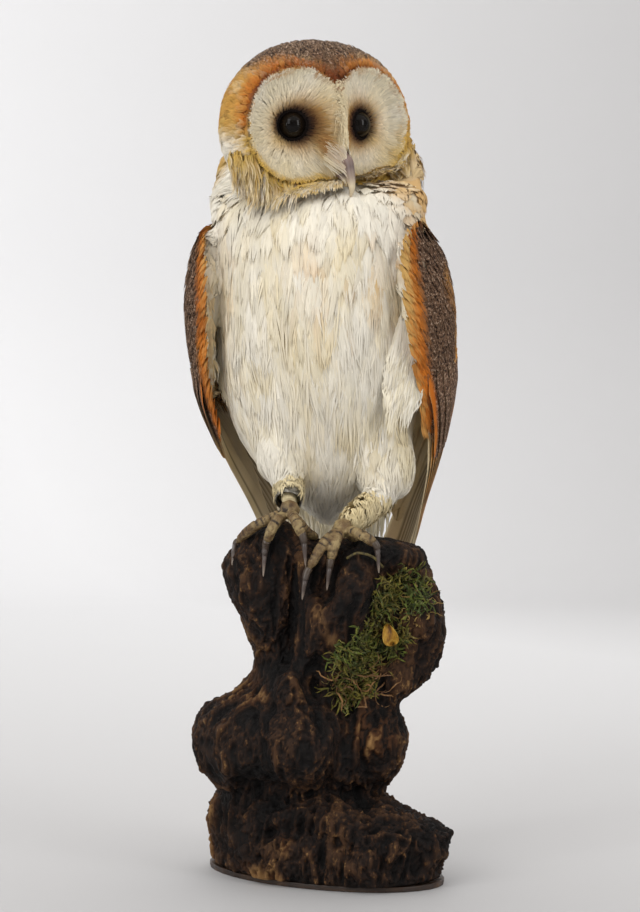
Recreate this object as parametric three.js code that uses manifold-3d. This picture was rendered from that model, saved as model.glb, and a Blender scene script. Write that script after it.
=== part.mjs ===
// A mounted barn owl, life size, standing upright on a gnarled root that is fixed to a thin oval board.
// Millimetres, +Z up. The origin is on the underside of the board, below the middle of the root.
// The owl faces -Y. Its own left is +X. The body is turned a little to its right and the head to its left.
import * as THREE from "three";
import { mergeVertices } from "three/addons/utils/BufferGeometryUtils.js";
import Module from "manifold-3d";

const wasm = await Module();
wasm.setup();

// ---------------------------------------------------------------- driving dimensions
const GAP = 0.3; // clearance between neighbouring pieces
const BODY_YAW = -12; // degrees: the breast is turned towards -X
const BODY_AXIS = [-3, 8]; // where the trunk's axis stands on the board
const HEAD_CENTRE = [3, -10, 425]; // in the body's frame
const HEAD_YAW = 42; // degrees from the body to the face
const HEAD_ROLL = -5;
const HEAD_PITCH = 6;
const HEAD = { wide: 60.5, mid: -3, front: 29, back: 43, up: 48.5, down: 47 }; // half sizes of the plumed head
const EYE = { side: 20.6, out: 12, up: 1.2, radius: 7.6 };
const BOARD = { halfWidth: 66.5, halfDepth: 47, shear: -0.36, thick: 3, centreY: -3 };
const ROOT_AXIS_Y = -5;

const { sin, cos, exp, abs, sqrt, atan2, acos, min, max, sign, PI } = Math;
const rad = THREE.MathUtils.degToRad;
const lerp = THREE.MathUtils.lerp;
const smooth = THREE.MathUtils.smoothstep;
const vec = (x, y, z) => new THREE.Vector3(x, y, z);
const bell = (x, centre, reach) => exp(-(((x - centre) / reach) ** 2));

// ---------------------------------------------------------------- shaping helpers
// Moves every vertex of a closed geometry, after its seams and poles are merged.
function warp(geometry, move) {
  geometry.deleteAttribute("normal");
  geometry.deleteAttribute("uv");
  const merged = mergeVertices(geometry, 1e-4);
  const position = merged.getAttribute("position");
  const point = new THREE.Vector3();
  for (let i = 0; i < position.count; i++) {
    const moved = move(point.fromBufferAttribute(position, i));
    position.setXYZ(i, moved.x, moved.y, moved.z);
  }
  return merged;
}

function solid(geometry) {
  const mesh = new wasm.Mesh({
    numProp: 3,
    vertProperties: new Float32Array(geometry.getAttribute("position").array),
    triVerts: new Uint32Array(geometry.index.array),
  });
  const made = new wasm.Manifold(mesh);
  const bodies = made.decompose();
  return bodies.length === 1 ? made : largest(made);
}

function largest(shape) {
  return shape.decompose().sort((a, b) => b.volume() - a.volume())[0];
}

function geometryOf(shape) {
  const mesh = shape.getMesh();
  const xyz = new Float32Array(mesh.numVert * 3);
  for (let i = 0; i < mesh.numVert; i++) {
    xyz.set(mesh.vertProperties.subarray(i * mesh.numProp, i * mesh.numProp + 3), i * 3);
  }
  return new THREE.BufferGeometry()
    .setAttribute("position", new THREE.BufferAttribute(xyz, 3))
    .setIndex(new THREE.BufferAttribute(mesh.triVerts, 1));
}

// A smooth function through [position, value] stations that run upwards; flat beyond both ends.
function profile(stations) {
  const last = stations.length - 1;
  const slope = stations.map((_, i) => {
    const a = stations[max(i - 1, 0)];
    const b = stations[min(i + 1, last)];
    return (b[1] - a[1]) / (b[0] - a[0]);
  });
  return (at) => {
    const above = stations.findIndex((s) => s[0] >= at);
    const k = above < 0 ? last - 1 : max(above - 1, 0);
    const [x0, y0] = stations[k];
    const [x1, y1] = stations[k + 1];
    const w = x1 - x0;
    const t = min(max((at - x0) / w, 0), 1);
    return (
      (1 + 2 * t) * (1 - t) ** 2 * y0 + t * (1 - t) ** 2 * w * slope[k] +
      t * t * (3 - 2 * t) * y1 + t * t * (t - 1) * w * slope[k + 1]
    );
  };
}

// A unit ball whose poles are on Z.
const ball = (around, along) => new THREE.SphereGeometry(1, around, along).rotateX(PI / 2);

// Horizontal sections along a spine. Each station is [x, y, z, half-width, reach to the front, reach to the back].
function loft(stations, around, along, grow = 0) {
  const spine = new THREE.CatmullRomCurve3(stations.map((s) => vec(s[0], s[1], s[2])));
  const girth = new THREE.CatmullRomCurve3(stations.map((s) => vec(s[3], s[4], s[5])));
  return warp(ball(around, along), (p) => {
    const t = acos(min(max(p.z, -1), 1)) / PI;
    const a = atan2(p.y, p.x);
    const c = spine.getPoint(t);
    const g = girth.getPoint(t);
    const open = sqrt(max(1 - p.z * p.z, 0)) > 1e-4 ? 1 : 0;
    return vec(
      c.x + (g.x + grow) * cos(a) * open,
      c.y + ((p.y < 0 ? g.y : g.z) + grow) * sin(a) * open,
      c.z + grow * p.z,
    );
  });
}

// Round sections square to a path. radius is one number for each path point; the ends are rounded.
function limb(path, radii, around, along, grow = 0, flat = 1) {
  const curve = new THREE.CatmullRomCurve3(path.map((p) => vec(...p)));
  const size = new THREE.CatmullRomCurve3(radii.map((r) => vec(r, 0, 0)));
  const span = curve.getLength();
  return warp(ball(around, along), (p) => {
    const t = acos(min(max(p.z, -1), 1)) / PI;
    const along = curve.getTangent(t);
    const side = vec(0, -1, 0.35).cross(along).normalize();
    const top = along.clone().cross(side).normalize();
    const r = max(size.getPoint(t).x, 0.15);
    const ends = min(1, sqrt(min(t, 1 - t) * span / r * 2));
    const a = atan2(p.y, p.x);
    const open = sqrt(max(1 - p.z * p.z, 0)) > 1e-4 ? 1 : 0;
    return curve.getPoint(t)
      .addScaledVector(side, (r * ends + grow) * cos(a) * open)
      .addScaledVector(top, (r * ends * flat + grow) * -sin(a) * open)
      .addScaledVector(along, -grow * p.z);
  });
}

const cutAbove = (shape, normal, offset) => shape.trimByPlane(normal, offset + GAP / 2);
const cutBelow = (shape, normal, offset) =>
  shape.trimByPlane(normal.map((n) => -n), -offset + GAP / 2);

// ---------------------------------------------------------------- the head
// The face is worked in its own frame: u to the owl's left, v up, w forward of the head's centre.
// The disc and its ridge lie a little to the owl's right of the head's middle.
const FACE = {
  shift: -2, lobeSide: 22, lobeWide: 27.3, lobeUp: 30.5, lobeMid: 0, chinWide: 24, chinUp: 19, chinMid: -11,
};

// Under 1 inside the heart-shaped disc, 1 on its edge.
function discEdge(u, v) {
  const off = abs(u - FACE.shift);
  const lobe = ((off - FACE.lobeSide) / FACE.lobeWide) ** 2 + ((v - FACE.lobeMid) / FACE.lobeUp) ** 2;
  const chin = (off / FACE.chinWide) ** 2 + ((v - FACE.chinMid) / FACE.chinUp) ** 2;
  return sqrt(min(lobe, chin));
}

const ridgeHeight = profile([[-42, 0], [-34, 8], [-26, 15], [-16, 18.5], [0, 18], [12, 15.5], [22, 11], [34, 3]]);
const ridgeWidth = profile([[-42, 12], [-26, 8.5], [0, 10], [14, 12], [30, 18]]);

function faceDepth(u, v, round) {
  const edge = discEdge(u, v);
  const off = abs(u - FACE.shift);
  const inside = 1 - smooth(edge, 0.82, 1.04);
  const ridge = ridgeHeight(v) * exp(-((off / ridgeWidth(v)) ** 1.7));
  const socket = 2.1 * bell(abs(u), EYE.side, 11) * bell(v, EYE.up, 11);
  const floor = 9 - 5 * smooth(off, 22, 50);
  const dish = lerp(round, floor, 0.9) + ridge - 3 * bell(off, 30, 18) * bell(v, -4, 26) - socket;
  const ruff = 2.6 * bell(edge, 1.07, 0.1) * (1 - bell(off, 0, 9) * 0.7);
  return lerp(round, dish, inside) + ruff;
}

const headTurn = new THREE.Matrix4()
  .makeTranslation(...HEAD_CENTRE)
  .multiply(new THREE.Matrix4().makeRotationZ(rad(HEAD_YAW)))
  .multiply(new THREE.Matrix4().makeRotationX(rad(HEAD_PITCH)))
  .multiply(new THREE.Matrix4().makeRotationY(rad(HEAD_ROLL)));
const onHead = (u, w, v) => vec(u, -w, v).applyMatrix4(headTurn);

function headForm() {
  return warp(ball(30, 20), (p) => {
    const about = atan2(p.x, -p.y);
    const turn = about - 0.36 * sin(about); // closer columns over the face
    const ring = (p.x * p.x + p.y * p.y) ** 0.45;
    const u = ring * sin(turn) * HEAD.wide;
    const ahead = ring * cos(turn);
    const v = p.z * (p.z > 0 ? HEAD.up : HEAD.down);
    if (ahead < 0) return onHead(u, HEAD.mid + ahead * HEAD.back, v);
    const round = HEAD.mid + ahead ** 1.25 * HEAD.front;
    return onHead(u, lerp(round, faceDepth(u, v, round), smooth(ahead, 0, 0.25)), v);
  });
}

function eye(side, grow = 0) {
  const centre = onHead(side * EYE.side, EYE.out - EYE.radius, EYE.up);
  return new THREE.SphereGeometry(EYE.radius + grow, 12, 8).translate(centre.x, centre.y, centre.z);
}

const onHeadPath = (path) => path.map(([u, w, v]) => onHead(u, w, v).toArray());
const BILL = {
  upper: {
    path: [[-1.5, 20, -13], [-1.5, 27, -17.5], [-1.2, 31.5, -23.5], [-1, 34, -30.5], [-1, 34.8, -36], [-1, 33, -41]],
    radii: [3.4, 4, 3.7, 2.8, 1.9, 0.5],
  },
  lower: { path: [[-1, 18, -26], [-1, 25.5, -29.5], [-1, 29.5, -33.5]], radii: [2.8, 2.6, 1.2] },
};
const bill = (part, grow = 0) => limb(onHeadPath(BILL[part].path), BILL[part].radii, 10, 8, grow, 1.15);

// ---------------------------------------------------------------- the trunk and neck
const TRUNK = [
  [-4.4, 20, 436, 0, 0, 0],
  [-4.4, 20, 428, 50, 5, 10],
  [-4.4, 20, 417, 59, 8, 16],
  [-4.4, 18, 405, 62, 13, 23],
  [-3.4, 12, 394, 63, 20, 32],
  [-1.4, 2, 384, 64, 33, 42],
  [-0.5, -1, 368, 61.5, 46, 49],
  [0, -1, 346, 60, 51, 51],
  [0, 1, 320, 58.5, 53, 50],
  [0, 4, 294, 57.5, 52, 48],
  [0, 9, 268, 57, 47, 45],
  [0, 15, 246, 50, 42, 43],
  [0, 20, 226, 36, 36, 39],
  [0, 24, 208, 18, 23, 30],
  [0, 27, 197, 0, 0, 0],
];
const trunkForm = (grow = 0) => loft(TRUNK, 22, 17, grow);

// ---------------------------------------------------------------- the wings
// [height, middle of the arc, side reach, back reach, front angle, rear angle, thickness]
const WING = [
  [371, -2, 60, 50, 5, 32, 0],
  [363, -2, 68.5, 56, -24, 52, 9],
  [349, 0, 75, 60.5, -35, 62, 16],
  [326, 2, 79, 61.5, -38, 70, 19],
  [298, 5, 78.5, 59, -35, 76, 15],
  [270, 12, 74, 53.5, -28, 80, 11],
  [242, 24, 65.5, 46, -20, 84, 8.5],
  [214, 36, 55, 38, -12, 86, 6.5],
  [186, 46, 46, 32, -4, 88, 5],
  [158, 56, 36, 26.5, 10, 89, 3.8],
  [130, 66, 25, 21, 24, 90, 3],
  [112, 72, 15, 16.5, 50, 90, 0],
];

const WING_LEAN = -0.03; // sideways for each millimetre up: the wings lean to the owl's right

function wingForm(side, grow = 0) {
  const columns = WING[0].map((_, column) =>
    profile(WING.map((row, i) => [i / (WING.length - 1), row[column]])));
  return warp(ball(12, 18), (p) => {
    const t = acos(min(max(p.z, -1), 1)) / PI;
    const [z, mid, sideReach, backReach, front, rear, thick] = columns.map((column) => column(t));
    const a = atan2(p.y, p.x);
    const across = sign(cos(a)) * abs(cos(a)) ** 0.8;
    const through = sign(sin(a)) * abs(sin(a)) ** 0.8;
    const open = sqrt(max(1 - p.z * p.z, 0)) > 1e-4 ? 1 : 0;
    const angle = rad(lerp(front, rear, (1 + across * open) / 2));
    const inset = (thick / 2) * (1 - through * open) - grow * through * open;
    const x = (sideReach - inset) * cos(angle);
    const y = (backReach - inset) * sin(angle);
    return vec(side * x + WING_LEAN * (z - 300), mid + y, z + grow * p.z);
  });
}

function flip(geometry) {
  const index = geometry.index.array;
  for (let i = 0; i < index.length; i += 3) [index[i + 1], index[i + 2]] = [index[i + 2], index[i + 1]];
  return geometry;
}
const wingSolid = (side, grow) => solid(side > 0 ? flip(wingForm(side, grow)) : wingForm(side, grow));

// The folded wing is parted where the coverts end and where the primaries slide out from the secondaries.
const COVERT_CUT = { normal: [0, -0.555, 0.832], offset: 229 };
const PRIMARY_CUT = { normal: [0, 0.738, 0.674], offset: 167.5 };

// ---------------------------------------------------------------- the tail
const TAIL = { rootWide: 20, endWide: 29, thick: 3.2 };
function tailForm() {
  const spine = new THREE.CatmullRomCurve3([vec(0, 30, 240), vec(0, 45, 204), vec(0, 58, 168), vec(0, 70, 126)]);
  return warp(new THREE.BoxGeometry(2, 2, 1, 4, 1, 6), (p) => {
    const t = 0.5 - p.z;
    const c = spine.getPoint(t);
    const wide = lerp(TAIL.rootWide, TAIL.endWide, t) * (1 - 0.1 * t ** 6);
    const scallop = 3 * t ** 8 * abs(p.x) ** 2;
    return vec(p.x * wide, c.y - 4 * p.x * p.x + (p.y * TAIL.thick) / 2, c.z + scallop);
  });
}

// ---------------------------------------------------------------- the root
// Reaches of the root's outline at each height: [height, to -X, to +X, to the front, to the back]
const ROOT = [
  [BOARD.thick + GAP, 64, 64, 49, 44],
  [14, 64.5, 65, 48, 44],
  [29, 67.5, 71, 46, 43],
  [37, 66, 50, 43, 41],
  [44, 63, 31, 39, 36],
  [50, 58, 31, 37, 34],
  [56, 66, 38, 41, 33],
  [64, 75, 42, 45, 34],
  [76, 77.5, 44.5, 46, 35],
  [88, 74, 43, 43, 35],
  [98, 67, 40, 38, 33],
  [105, 52, 46, 35, 32],
  [112, 44, 57, 35, 32],
  [120, 40, 63, 36, 33],
  [132, 41, 66, 38, 34],
  [144, 44, 66.5, 40, 34],
  [154, 50, 66, 42, 33],
  [166, 56.5, 61, 44, 32],
  [177, 57, 58.5, 44, 31],
  [188, 47, 57, 42, 29],
];
const rootReach = [1, 2, 3, 4].map((column) => profile(ROOT.map((row) => [row[0], row[column]])));

// Knobs and hollows: [height, angle, reach up, reach round in degrees, how far it stands out]
const GNARLS = [
  [172, -88, 20, 16, -9], // hollow under the toes
  [150, -125, 26, 16, 5], // twisted strand on the left
  [140, -70, 40, 12, 5], // twisted strand in the middle
  [118, -38, 16, 18, -9], // cavity beside the right knob
  [78, -112, 17, 26, 7], // sawn knob to the lower left
  [62, -55, 9, 20, -7], // cavity under the knob
  [47, -100, 8, 40, -6], // waist above the foot
  [24, -60, 14, 14, 3],
  [20, -135, 12, 12, 3],
  [90, -20, 12, 14, 4],
  [150, 60, 30, 20, 5],
  [80, 100, 26, 22, 6],
  [120, 150, 20, 20, -4],
  [70, 40, 20, 16, -4],
];
const turnTo = (a, b) => abs(((a - b + 540) % 360) - 180);

function rootRadius(angle, z) {
  const [left, right, front, back] = rootReach.map((reach) => reach(min(z, 188)));
  const c = cos(rad(angle));
  const s = sin(rad(angle));
  const plain = 1 / sqrt((c / (c < 0 ? left : right)) ** 2 + (s / (s < 0 ? front : back)) ** 2);
  const gnarl = GNARLS.reduce((sum, [gz, ga, up, round, out]) =>
    sum + out * bell(z, gz, up) * bell(turnTo(angle, ga), 0, round), 0);
  const side = abs(c) ** 3;
  const strands = (1.6 * sin(rad(5 * angle) + z / 17) + 1.1 * sin(rad(9 * angle) - z / 11)) * (1 - 0.7 * side);
  return plain + gnarl + strands;
}

// Height of the root's top: a high lobe to the left, a dip in the middle and a shelf to the right.
function rootTop(x, y) {
  const lobe = 15 * bell(x, -31, 17) * bell(y, -10, 34);
  const shelf = 0.5 * bell(x, 45, 24);
  const dip = 5 * bell(x, 2, 15) * bell(y, -38, 22);
  return 189 + lobe + shelf - dip + 1.2 * sin(x / 6) * cos(y / 7);
}

const rootShear = (x, z) => BOARD.shear * x * (1 - smooth(z, 30, 60));

function rootPoint(angle, z, out = 0) {
  const r = rootRadius(angle, z) + out;
  const x = r * cos(rad(angle));
  return vec(x, ROOT_AXIS_Y + r * sin(rad(angle)) + rootShear(x, z), z);
}

function rootForm(grow = 0) {
  const rings = 22;
  const outline = [0, 0.35, 0.7, 0.93].map((share) => new THREE.Vector2(share, 1));
  for (let i = 0; i <= rings; i++) outline.push(new THREE.Vector2(1, 1 - i / rings));
  outline.push(new THREE.Vector2(0, 0));
  return warp(new THREE.LatheGeometry(outline.reverse(), 27).rotateX(PI / 2), (p) => {
    const share = sqrt(p.x * p.x + p.y * p.y);
    const angle = atan2(p.y, p.x) / rad(1);
    const rim = rootPoint(angle, 184);
    const top = rootTop(rim.x * min(share, 1), rim.y * min(share, 1)) + grow;
    const edge = 5 * smooth(p.z, 0.8, 1) * share ** 8;
    const z = lerp(ROOT[0][0], top - edge, p.z);
    const r = (rootRadius(angle, z) + grow) * share;
    const x = r * cos(rad(angle));
    return vec(x, ROOT_AXIS_Y + r * sin(rad(angle)) + rootShear(x, z), z);
  });
}

// The moss is a thin cushion laid over the root: u and v run over it from -1 to 1.
const MOSS = { angle: -44, turn: 36, z: 137, rise: 36, thick: 4.5 };
function mossForm() {
  return warp(new THREE.BoxGeometry(2, 2, 1, 6, 7, 1), (p) => {
    const round = sqrt(1 - min((p.x * p.x + p.y * p.y) / 2, 1) * 0.55);
    const u = p.x * round;
    const v = p.y * round;
    const dome = max(1 - (u * u + v * v), 0) ** 0.5;
    const ragged = 0.7 + 0.3 * sin(5 * u + 4 * v) * cos(6 * v - 2 * u);
    return rootPoint(MOSS.angle + MOSS.turn * u, MOSS.z + MOSS.rise * v - 7 * u,
      p.z > 0 ? 1.2 + MOSS.thick * dome * ragged : -1.5);
  });
}

// The board is an ellipse sheared so that its left end stands further back.
function boardForm() {
  const outline = [];
  for (let i = 0; i < 36; i++) {
    const t = (2 * PI * i) / 36;
    const x = BOARD.halfWidth * cos(t);
    outline.push(new THREE.Vector2(x, BOARD.centreY + BOARD.halfDepth * sin(t) + BOARD.shear * x));
  }
  const slab = new THREE.ExtrudeGeometry(new THREE.Shape(outline), { depth: BOARD.thick, bevelEnabled: false });
  return warp(slab, (p) => p.clone());
}

// ---------------------------------------------------------------- the legs and feet
// The point on the front of the root that lies at this x and height, lifted off the wood.
function onFront(x, z, lift) {
  let best = null;
  for (let angle = -175; angle <= -5; angle += 1) {
    const p = rootPoint(angle, z, lift);
    if (!best || abs(p.x - x) < abs(best.x - x)) best = p;
  }
  return [x, best.y, z];
}
const onTop = (x, y, lift) => [x, y, rootTop(x, y) + lift];

const TOE_RADIUS = 3.2;
const CLAW_RADIUS = 1.8;
// Foot, heel and hip of each leg, then where its hind toe lies on top of the root: x, y, x, y.
const LEGS = {
  right: { foot: [-19.5, -29, 207], heel: [-21, -4, 228], hip: [-24, 8, 262], hind: [-9, -20, -3, -14] },
  left: { foot: [10, -33, 197], heel: [36, 0, 218], hip: [29, 6, 258], hind: [18, -22, 24, -14] },
};
// Each front toe: where it bends over the wood, where its pad ends and where its claw ends: x, height.
const TOES = {
  right_outer: { over: [-39, 198], pad: [-50, 187], tip: [-51.5, 175] },
  right_middle: { over: [-28, 199], pad: [-32.5, 188], tip: [-33.5, 174] },
  right_inner: { over: [-15, 200], pad: [-11.5, 192], tip: [-10.5, 179] },
  left_inner: { over: [0, 190], pad: [-10, 173], tip: [-12, 161] },
  left_middle: { over: [5.5, 189], pad: [3, 178], tip: [1.5, 166] },
  left_outer: { over: [22, 193], pad: [28.5, 188], tip: [29.5, 175.5] },
};
const RING = { at: 0.3, inner: 6.7, outer: 7.5, height: 5.5 }; // round the right leg, just above the foot

const toePath = (foot, { over, pad }) =>
  [foot, onFront(...over, TOE_RADIUS), onFront(...pad, TOE_RADIUS * 0.8)];
function clawPath({ pad, tip }) {
  const middle = [(pad[0] + tip[0]) / 2, (pad[1] + tip[1]) / 2 + 1];
  return [onFront(...pad, TOE_RADIUS * 0.8), onFront(...middle, 4.2), onFront(...tip, 1.6)];
}
const between = (a, b, t) => a.map((value, i) => lerp(value, b[i], t));

function ringForm(grow = 0) {
  const { foot, heel } = LEGS.right;
  const { inner, outer, height } = RING;
  const corners = [[inner - grow, -1], [outer + grow, -1], [outer + grow, 1], [inner - grow, 1], [inner - grow, -1]];
  const outline = corners.map(([r, end]) => new THREE.Vector2(r, end * (height / 2 + grow)));
  const along = vec(...heel).sub(vec(...foot)).normalize();
  const turn = new THREE.Quaternion().setFromUnitVectors(vec(0, 1, 0), along);
  const centre = vec(...between(foot, heel, RING.at));
  return warp(new THREE.LatheGeometry(outline, 12), (p) => p.clone().applyQuaternion(turn).add(centre));
}

// ---------------------------------------------------------------- assembly
const material = (color, roughness, metalness = 0) =>
  new THREE.MeshStandardMaterial({ color, roughness, metalness });
const LOOK = {
  white: material(0xe9e2d2, 0.9),
  face: material(0xe5dcc4, 0.9),
  wing: material(0x9a6a3a, 0.85),
  flight: material(0xc79a5e, 0.8),
  tail: material(0xd9c9a6, 0.85),
  leg: material(0xded6ae, 0.9),
  toe: material(0xa89468, 0.6),
  claw: material(0x5b5058, 0.35),
  eye: material(0x080606, 0.05),
  bill: material(0xcdb3a6, 0.4),
  ring: material(0x9aa0a8, 0.4, 0.9),
  wood: material(0x3a2618, 0.85),
  board: material(0x6b4a2a, 0.7),
  moss: material(0x4f5f1e, 0.95),
};

const owl = new THREE.Group();
const body = new THREE.Group(); // turned with the breast
body.position.set(BODY_AXIS[0], BODY_AXIS[1], 0);
body.rotation.z = rad(BODY_YAW);
body.updateMatrix();
const bodyMatrix = body.matrix;
const perch = new THREE.Group(); // legs, feet, root and board
owl.add(body, perch);

function add(group, name, shape, look) {
  const mesh = new THREE.Mesh(geometryOf(largest(shape)), LOOK[look]);
  mesh.name = name;
  group.add(mesh);
}

// Head, neck and trunk are one form, parted by two thin cuts.
const CHIN_CUT = { normal: [0, -0.26, 0.966], offset: 381 };
const NAPE_CUT = { normal: [0, -0.1, 0.995], offset: 357 };
const eyeSolid = (side, grow) => solid(warp(eye(side, grow), (p) => p.clone()));
const billSolid = (part, grow) => solid(bill(part, grow));
const sockets = eyeSolid(1, GAP).add(eyeSolid(-1, GAP));
const billRoom = billSolid("upper", GAP).add(billSolid("lower", GAP));
const whole = solid(headForm()).add(solid(trunkForm())).subtract(sockets).subtract(billRoom);
const below = cutBelow(whole, CHIN_CUT.normal, CHIN_CUT.offset);
add(body, "head", cutAbove(whole, CHIN_CUT.normal, CHIN_CUT.offset), "face");
add(body, "neck", cutAbove(below, NAPE_CUT.normal, NAPE_CUT.offset), "white");
add(body, "trunk", cutBelow(below, NAPE_CUT.normal, NAPE_CUT.offset), "white");
add(body, "eye_left", eyeSolid(1, 0), "eye");
add(body, "eye_right", eyeSolid(-1, 0), "eye");
add(body, "bill_upper", billSolid("upper", 0), "bill");
add(body, "bill_lower", billSolid("lower", 0).subtract(billSolid("upper", GAP)), "bill");

const trunkRoom = solid(trunkForm(GAP));
for (const [name, side] of [["wing_left", 1], ["wing_right", -1]]) {
  const wing = wingSolid(side, 0).subtract(trunkRoom);
  const flight = cutBelow(wing, COVERT_CUT.normal, COVERT_CUT.offset);
  add(body, `${name}_coverts`, cutAbove(wing, COVERT_CUT.normal, COVERT_CUT.offset), "wing");
  add(body, `${name}_secondaries`, cutAbove(flight, PRIMARY_CUT.normal, PRIMARY_CUT.offset), "flight");
  add(body, `${name}_primaries`, cutBelow(flight, PRIMARY_CUT.normal, PRIMARY_CUT.offset), "flight");
}
const wingRoom = wingSolid(1, GAP).add(wingSolid(-1, GAP));
add(body, "tail", solid(tailForm()).subtract(trunkRoom).subtract(wingRoom), "tail");

// Legs and feet: each piece gives way to those already there, and the root gives way to the feet.
let taken = trunkRoom.add(wingRoom).transform(bodyMatrix.toArray());
let root = solid(rootForm());
function addFitted(name, look, shape, pressed = false) {
  const room = shape(GAP);
  add(perch, name, shape(0).subtract(taken), look);
  taken = taken.add(room);
  if (pressed) root = root.subtract(room);
}
addFitted("leg_ring", "ring", (grow) => solid(ringForm(grow)));
for (const [side, { foot, heel, hip, hind }] of Object.entries(LEGS)) {
  const [x, y, z] = foot;
  const palm = [[x, y + 4, z + 2], foot, [x, y - 4, z - 5]];
  const thumb = [foot, onTop(hind[0], hind[1], 2.6), onTop(hind[2], hind[3], 2)];
  const shin = [foot, between(foot, heel, 0.5), heel];
  const thigh = [hip, between(hip, heel, 0.6), [heel[0], heel[1] - 2, heel[2] - 9]];
  addFitted(`foot_${side}`, "toe", (grow) => solid(limb(palm, [4.5, 6, 4], 8, 6, grow)), true);
  for (const [name, toe] of Object.entries(TOES).filter(([name]) => name.startsWith(side))) {
    const nail = (grow) => solid(limb(clawPath(toe), [CLAW_RADIUS, 1.6, 0.35], 6, 5, grow));
    const shaft = (grow) => solid(limb(toePath(foot, toe), [3, TOE_RADIUS, 2.6], 8, 6, grow));
    addFitted(`claw_${name}`, "claw", nail, true);
    addFitted(`toe_${name}`, "toe", shaft, true);
  }
  addFitted(`toe_${side}_hind`, "toe", (grow) => solid(limb(thumb, [3, 3, 2.3], 8, 5, grow)), true);
  addFitted(`tarsus_${side}`, "leg", (grow) => solid(limb(shin, [5.8, 6.8, 9], 10, 6, grow)), true);
  addFitted(`thigh_${side}`, "white", (grow) => solid(limb(thigh, [20, 20, 12], 14, 8, grow)), true);
}
add(perch, "mount_root", root, "wood");
const mossRoom = solid(rootForm(GAP)).add(taken);
add(perch, "mount_moss", solid(mossForm()).subtract(mossRoom), "moss");
add(perch, "mount_board", solid(boardForm()), "board");

export default owl;
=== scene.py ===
# %% [markdown]
# # A mounted barn owl on a root
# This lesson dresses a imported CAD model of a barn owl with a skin, feathers, horn, bark and moss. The
# owl's breast faces -Y and its own left is +X.

# %% Load the frame
import math

import bmesh
import bpy
import numpy as np
from mathutils import Matrix, Vector
from mathutils.bvhtree import BVHTree


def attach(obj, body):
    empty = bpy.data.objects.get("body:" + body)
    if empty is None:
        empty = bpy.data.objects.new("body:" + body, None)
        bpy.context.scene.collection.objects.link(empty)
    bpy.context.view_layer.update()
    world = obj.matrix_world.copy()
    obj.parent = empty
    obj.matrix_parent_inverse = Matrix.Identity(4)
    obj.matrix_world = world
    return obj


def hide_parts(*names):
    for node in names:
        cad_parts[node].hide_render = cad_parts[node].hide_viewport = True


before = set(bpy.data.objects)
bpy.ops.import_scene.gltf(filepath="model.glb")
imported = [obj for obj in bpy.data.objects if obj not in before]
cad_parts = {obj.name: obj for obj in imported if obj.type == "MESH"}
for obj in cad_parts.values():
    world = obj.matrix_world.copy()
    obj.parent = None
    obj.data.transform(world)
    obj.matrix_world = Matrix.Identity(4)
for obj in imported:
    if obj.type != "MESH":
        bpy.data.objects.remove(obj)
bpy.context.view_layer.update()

MM = 0.001
print("CAD nodes:", len(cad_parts))

# %% [markdown]
# ## Small number helpers
# Thousands of feathers are easier to think about as arrays than one by one. These helpers work on
# whole arrays: smooth steps, bell curves, unit vectors, and a smooth random field for natural variation.


# %% Number helpers
def smooth(x, low, high):
    t = np.clip((x - low) / (high - low), 0, 1)
    return t * t * (3 - 2 * t)


def bell(x, centre, reach):
    return np.exp(-(((x - centre) / reach) ** 2))


def unit(v):
    return v / np.maximum(np.linalg.norm(v, axis=-1, keepdims=True), 1e-9)


def mix(a, b, t):
    t = np.asarray(t)
    return np.asarray(a) + (np.asarray(b) - np.asarray(a)) * (t[..., None] if t.ndim else t)


def lattice(i, j, k, seed):
    h = (i * 374761393 + j * 668265263 + k * 1442695041 + seed * 974634777) & 0xFFFFFFFF
    h = ((h ^ (h >> 13)) * 1274126177) & 0xFFFFFFFF
    return ((h ^ (h >> 16)) & 0xFFFF) / 32767.5 - 1


def noise(points, size, seed=0):
    """A smooth random value from -1 to 1 at each point; size is the width of its lumps."""
    q = np.asarray(points) / size
    cell = np.floor(q).astype(np.int64)
    f = q - cell
    f = f * f * (3 - 2 * f)
    total = 0
    for di in (0, 1):
        for dj in (0, 1):
            for dk in (0, 1):
                w = np.abs(1 - di - f[:, 0]) * np.abs(1 - dj - f[:, 1]) * np.abs(1 - dk - f[:, 2])
                total = total + w * lattice(cell[:, 0] + di, cell[:, 1] + dj, cell[:, 2] + dk, seed)
    return total


def layered(points, size, octaves=3, seed=0):
    return sum(noise(points, size / 2**o, seed + o) / 2**o for o in range(octaves))


print("noise sample:", round(float(noise(np.array([[0.1, 0.2, 0.3]]), 0.01)[0]), 3))

# %% [markdown]
# ## Camera
# The specimen is seen level, from a little over a metre away, through a portrait lens of about
# 80 mm. The lens is long, so the owl's proportions stay true from crown to board. Its focal
# length is worked out in pixels of the render: the render is 912 high, and the lens lies 2000 behind it.


# %% Place the camera
def placed(name, data):
    """A new object in the scene's own collection."""
    made = bpy.data.objects.new(name, data)
    bpy.context.scene.collection.objects.link(made)
    return made


SENSOR_MM, FOCAL_PIXELS, RENDER_HEIGHT = 36, 2000, 912
camera_data = bpy.data.cameras.new("camera")
camera_data.lens = SENSOR_MM * FOCAL_PIXELS / RENDER_HEIGHT
camera_data.clip_end = 20
camera = placed("camera", camera_data)
camera.location = (-2.6 * MM, -1140 * MM, 237 * MM)
camera.rotation_euler = (math.radians(90), 0, 0)
bpy.context.scene.camera = camera
print("lens:", round(camera_data.lens, 1), "mm")

# %% [markdown]
# ## Materials by name
# Each finish is a Principled shader. A few lines of helper code make a material, add nodes to it and
# join their sockets, so that each finish below reads as a short list of what it is made of.


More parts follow.
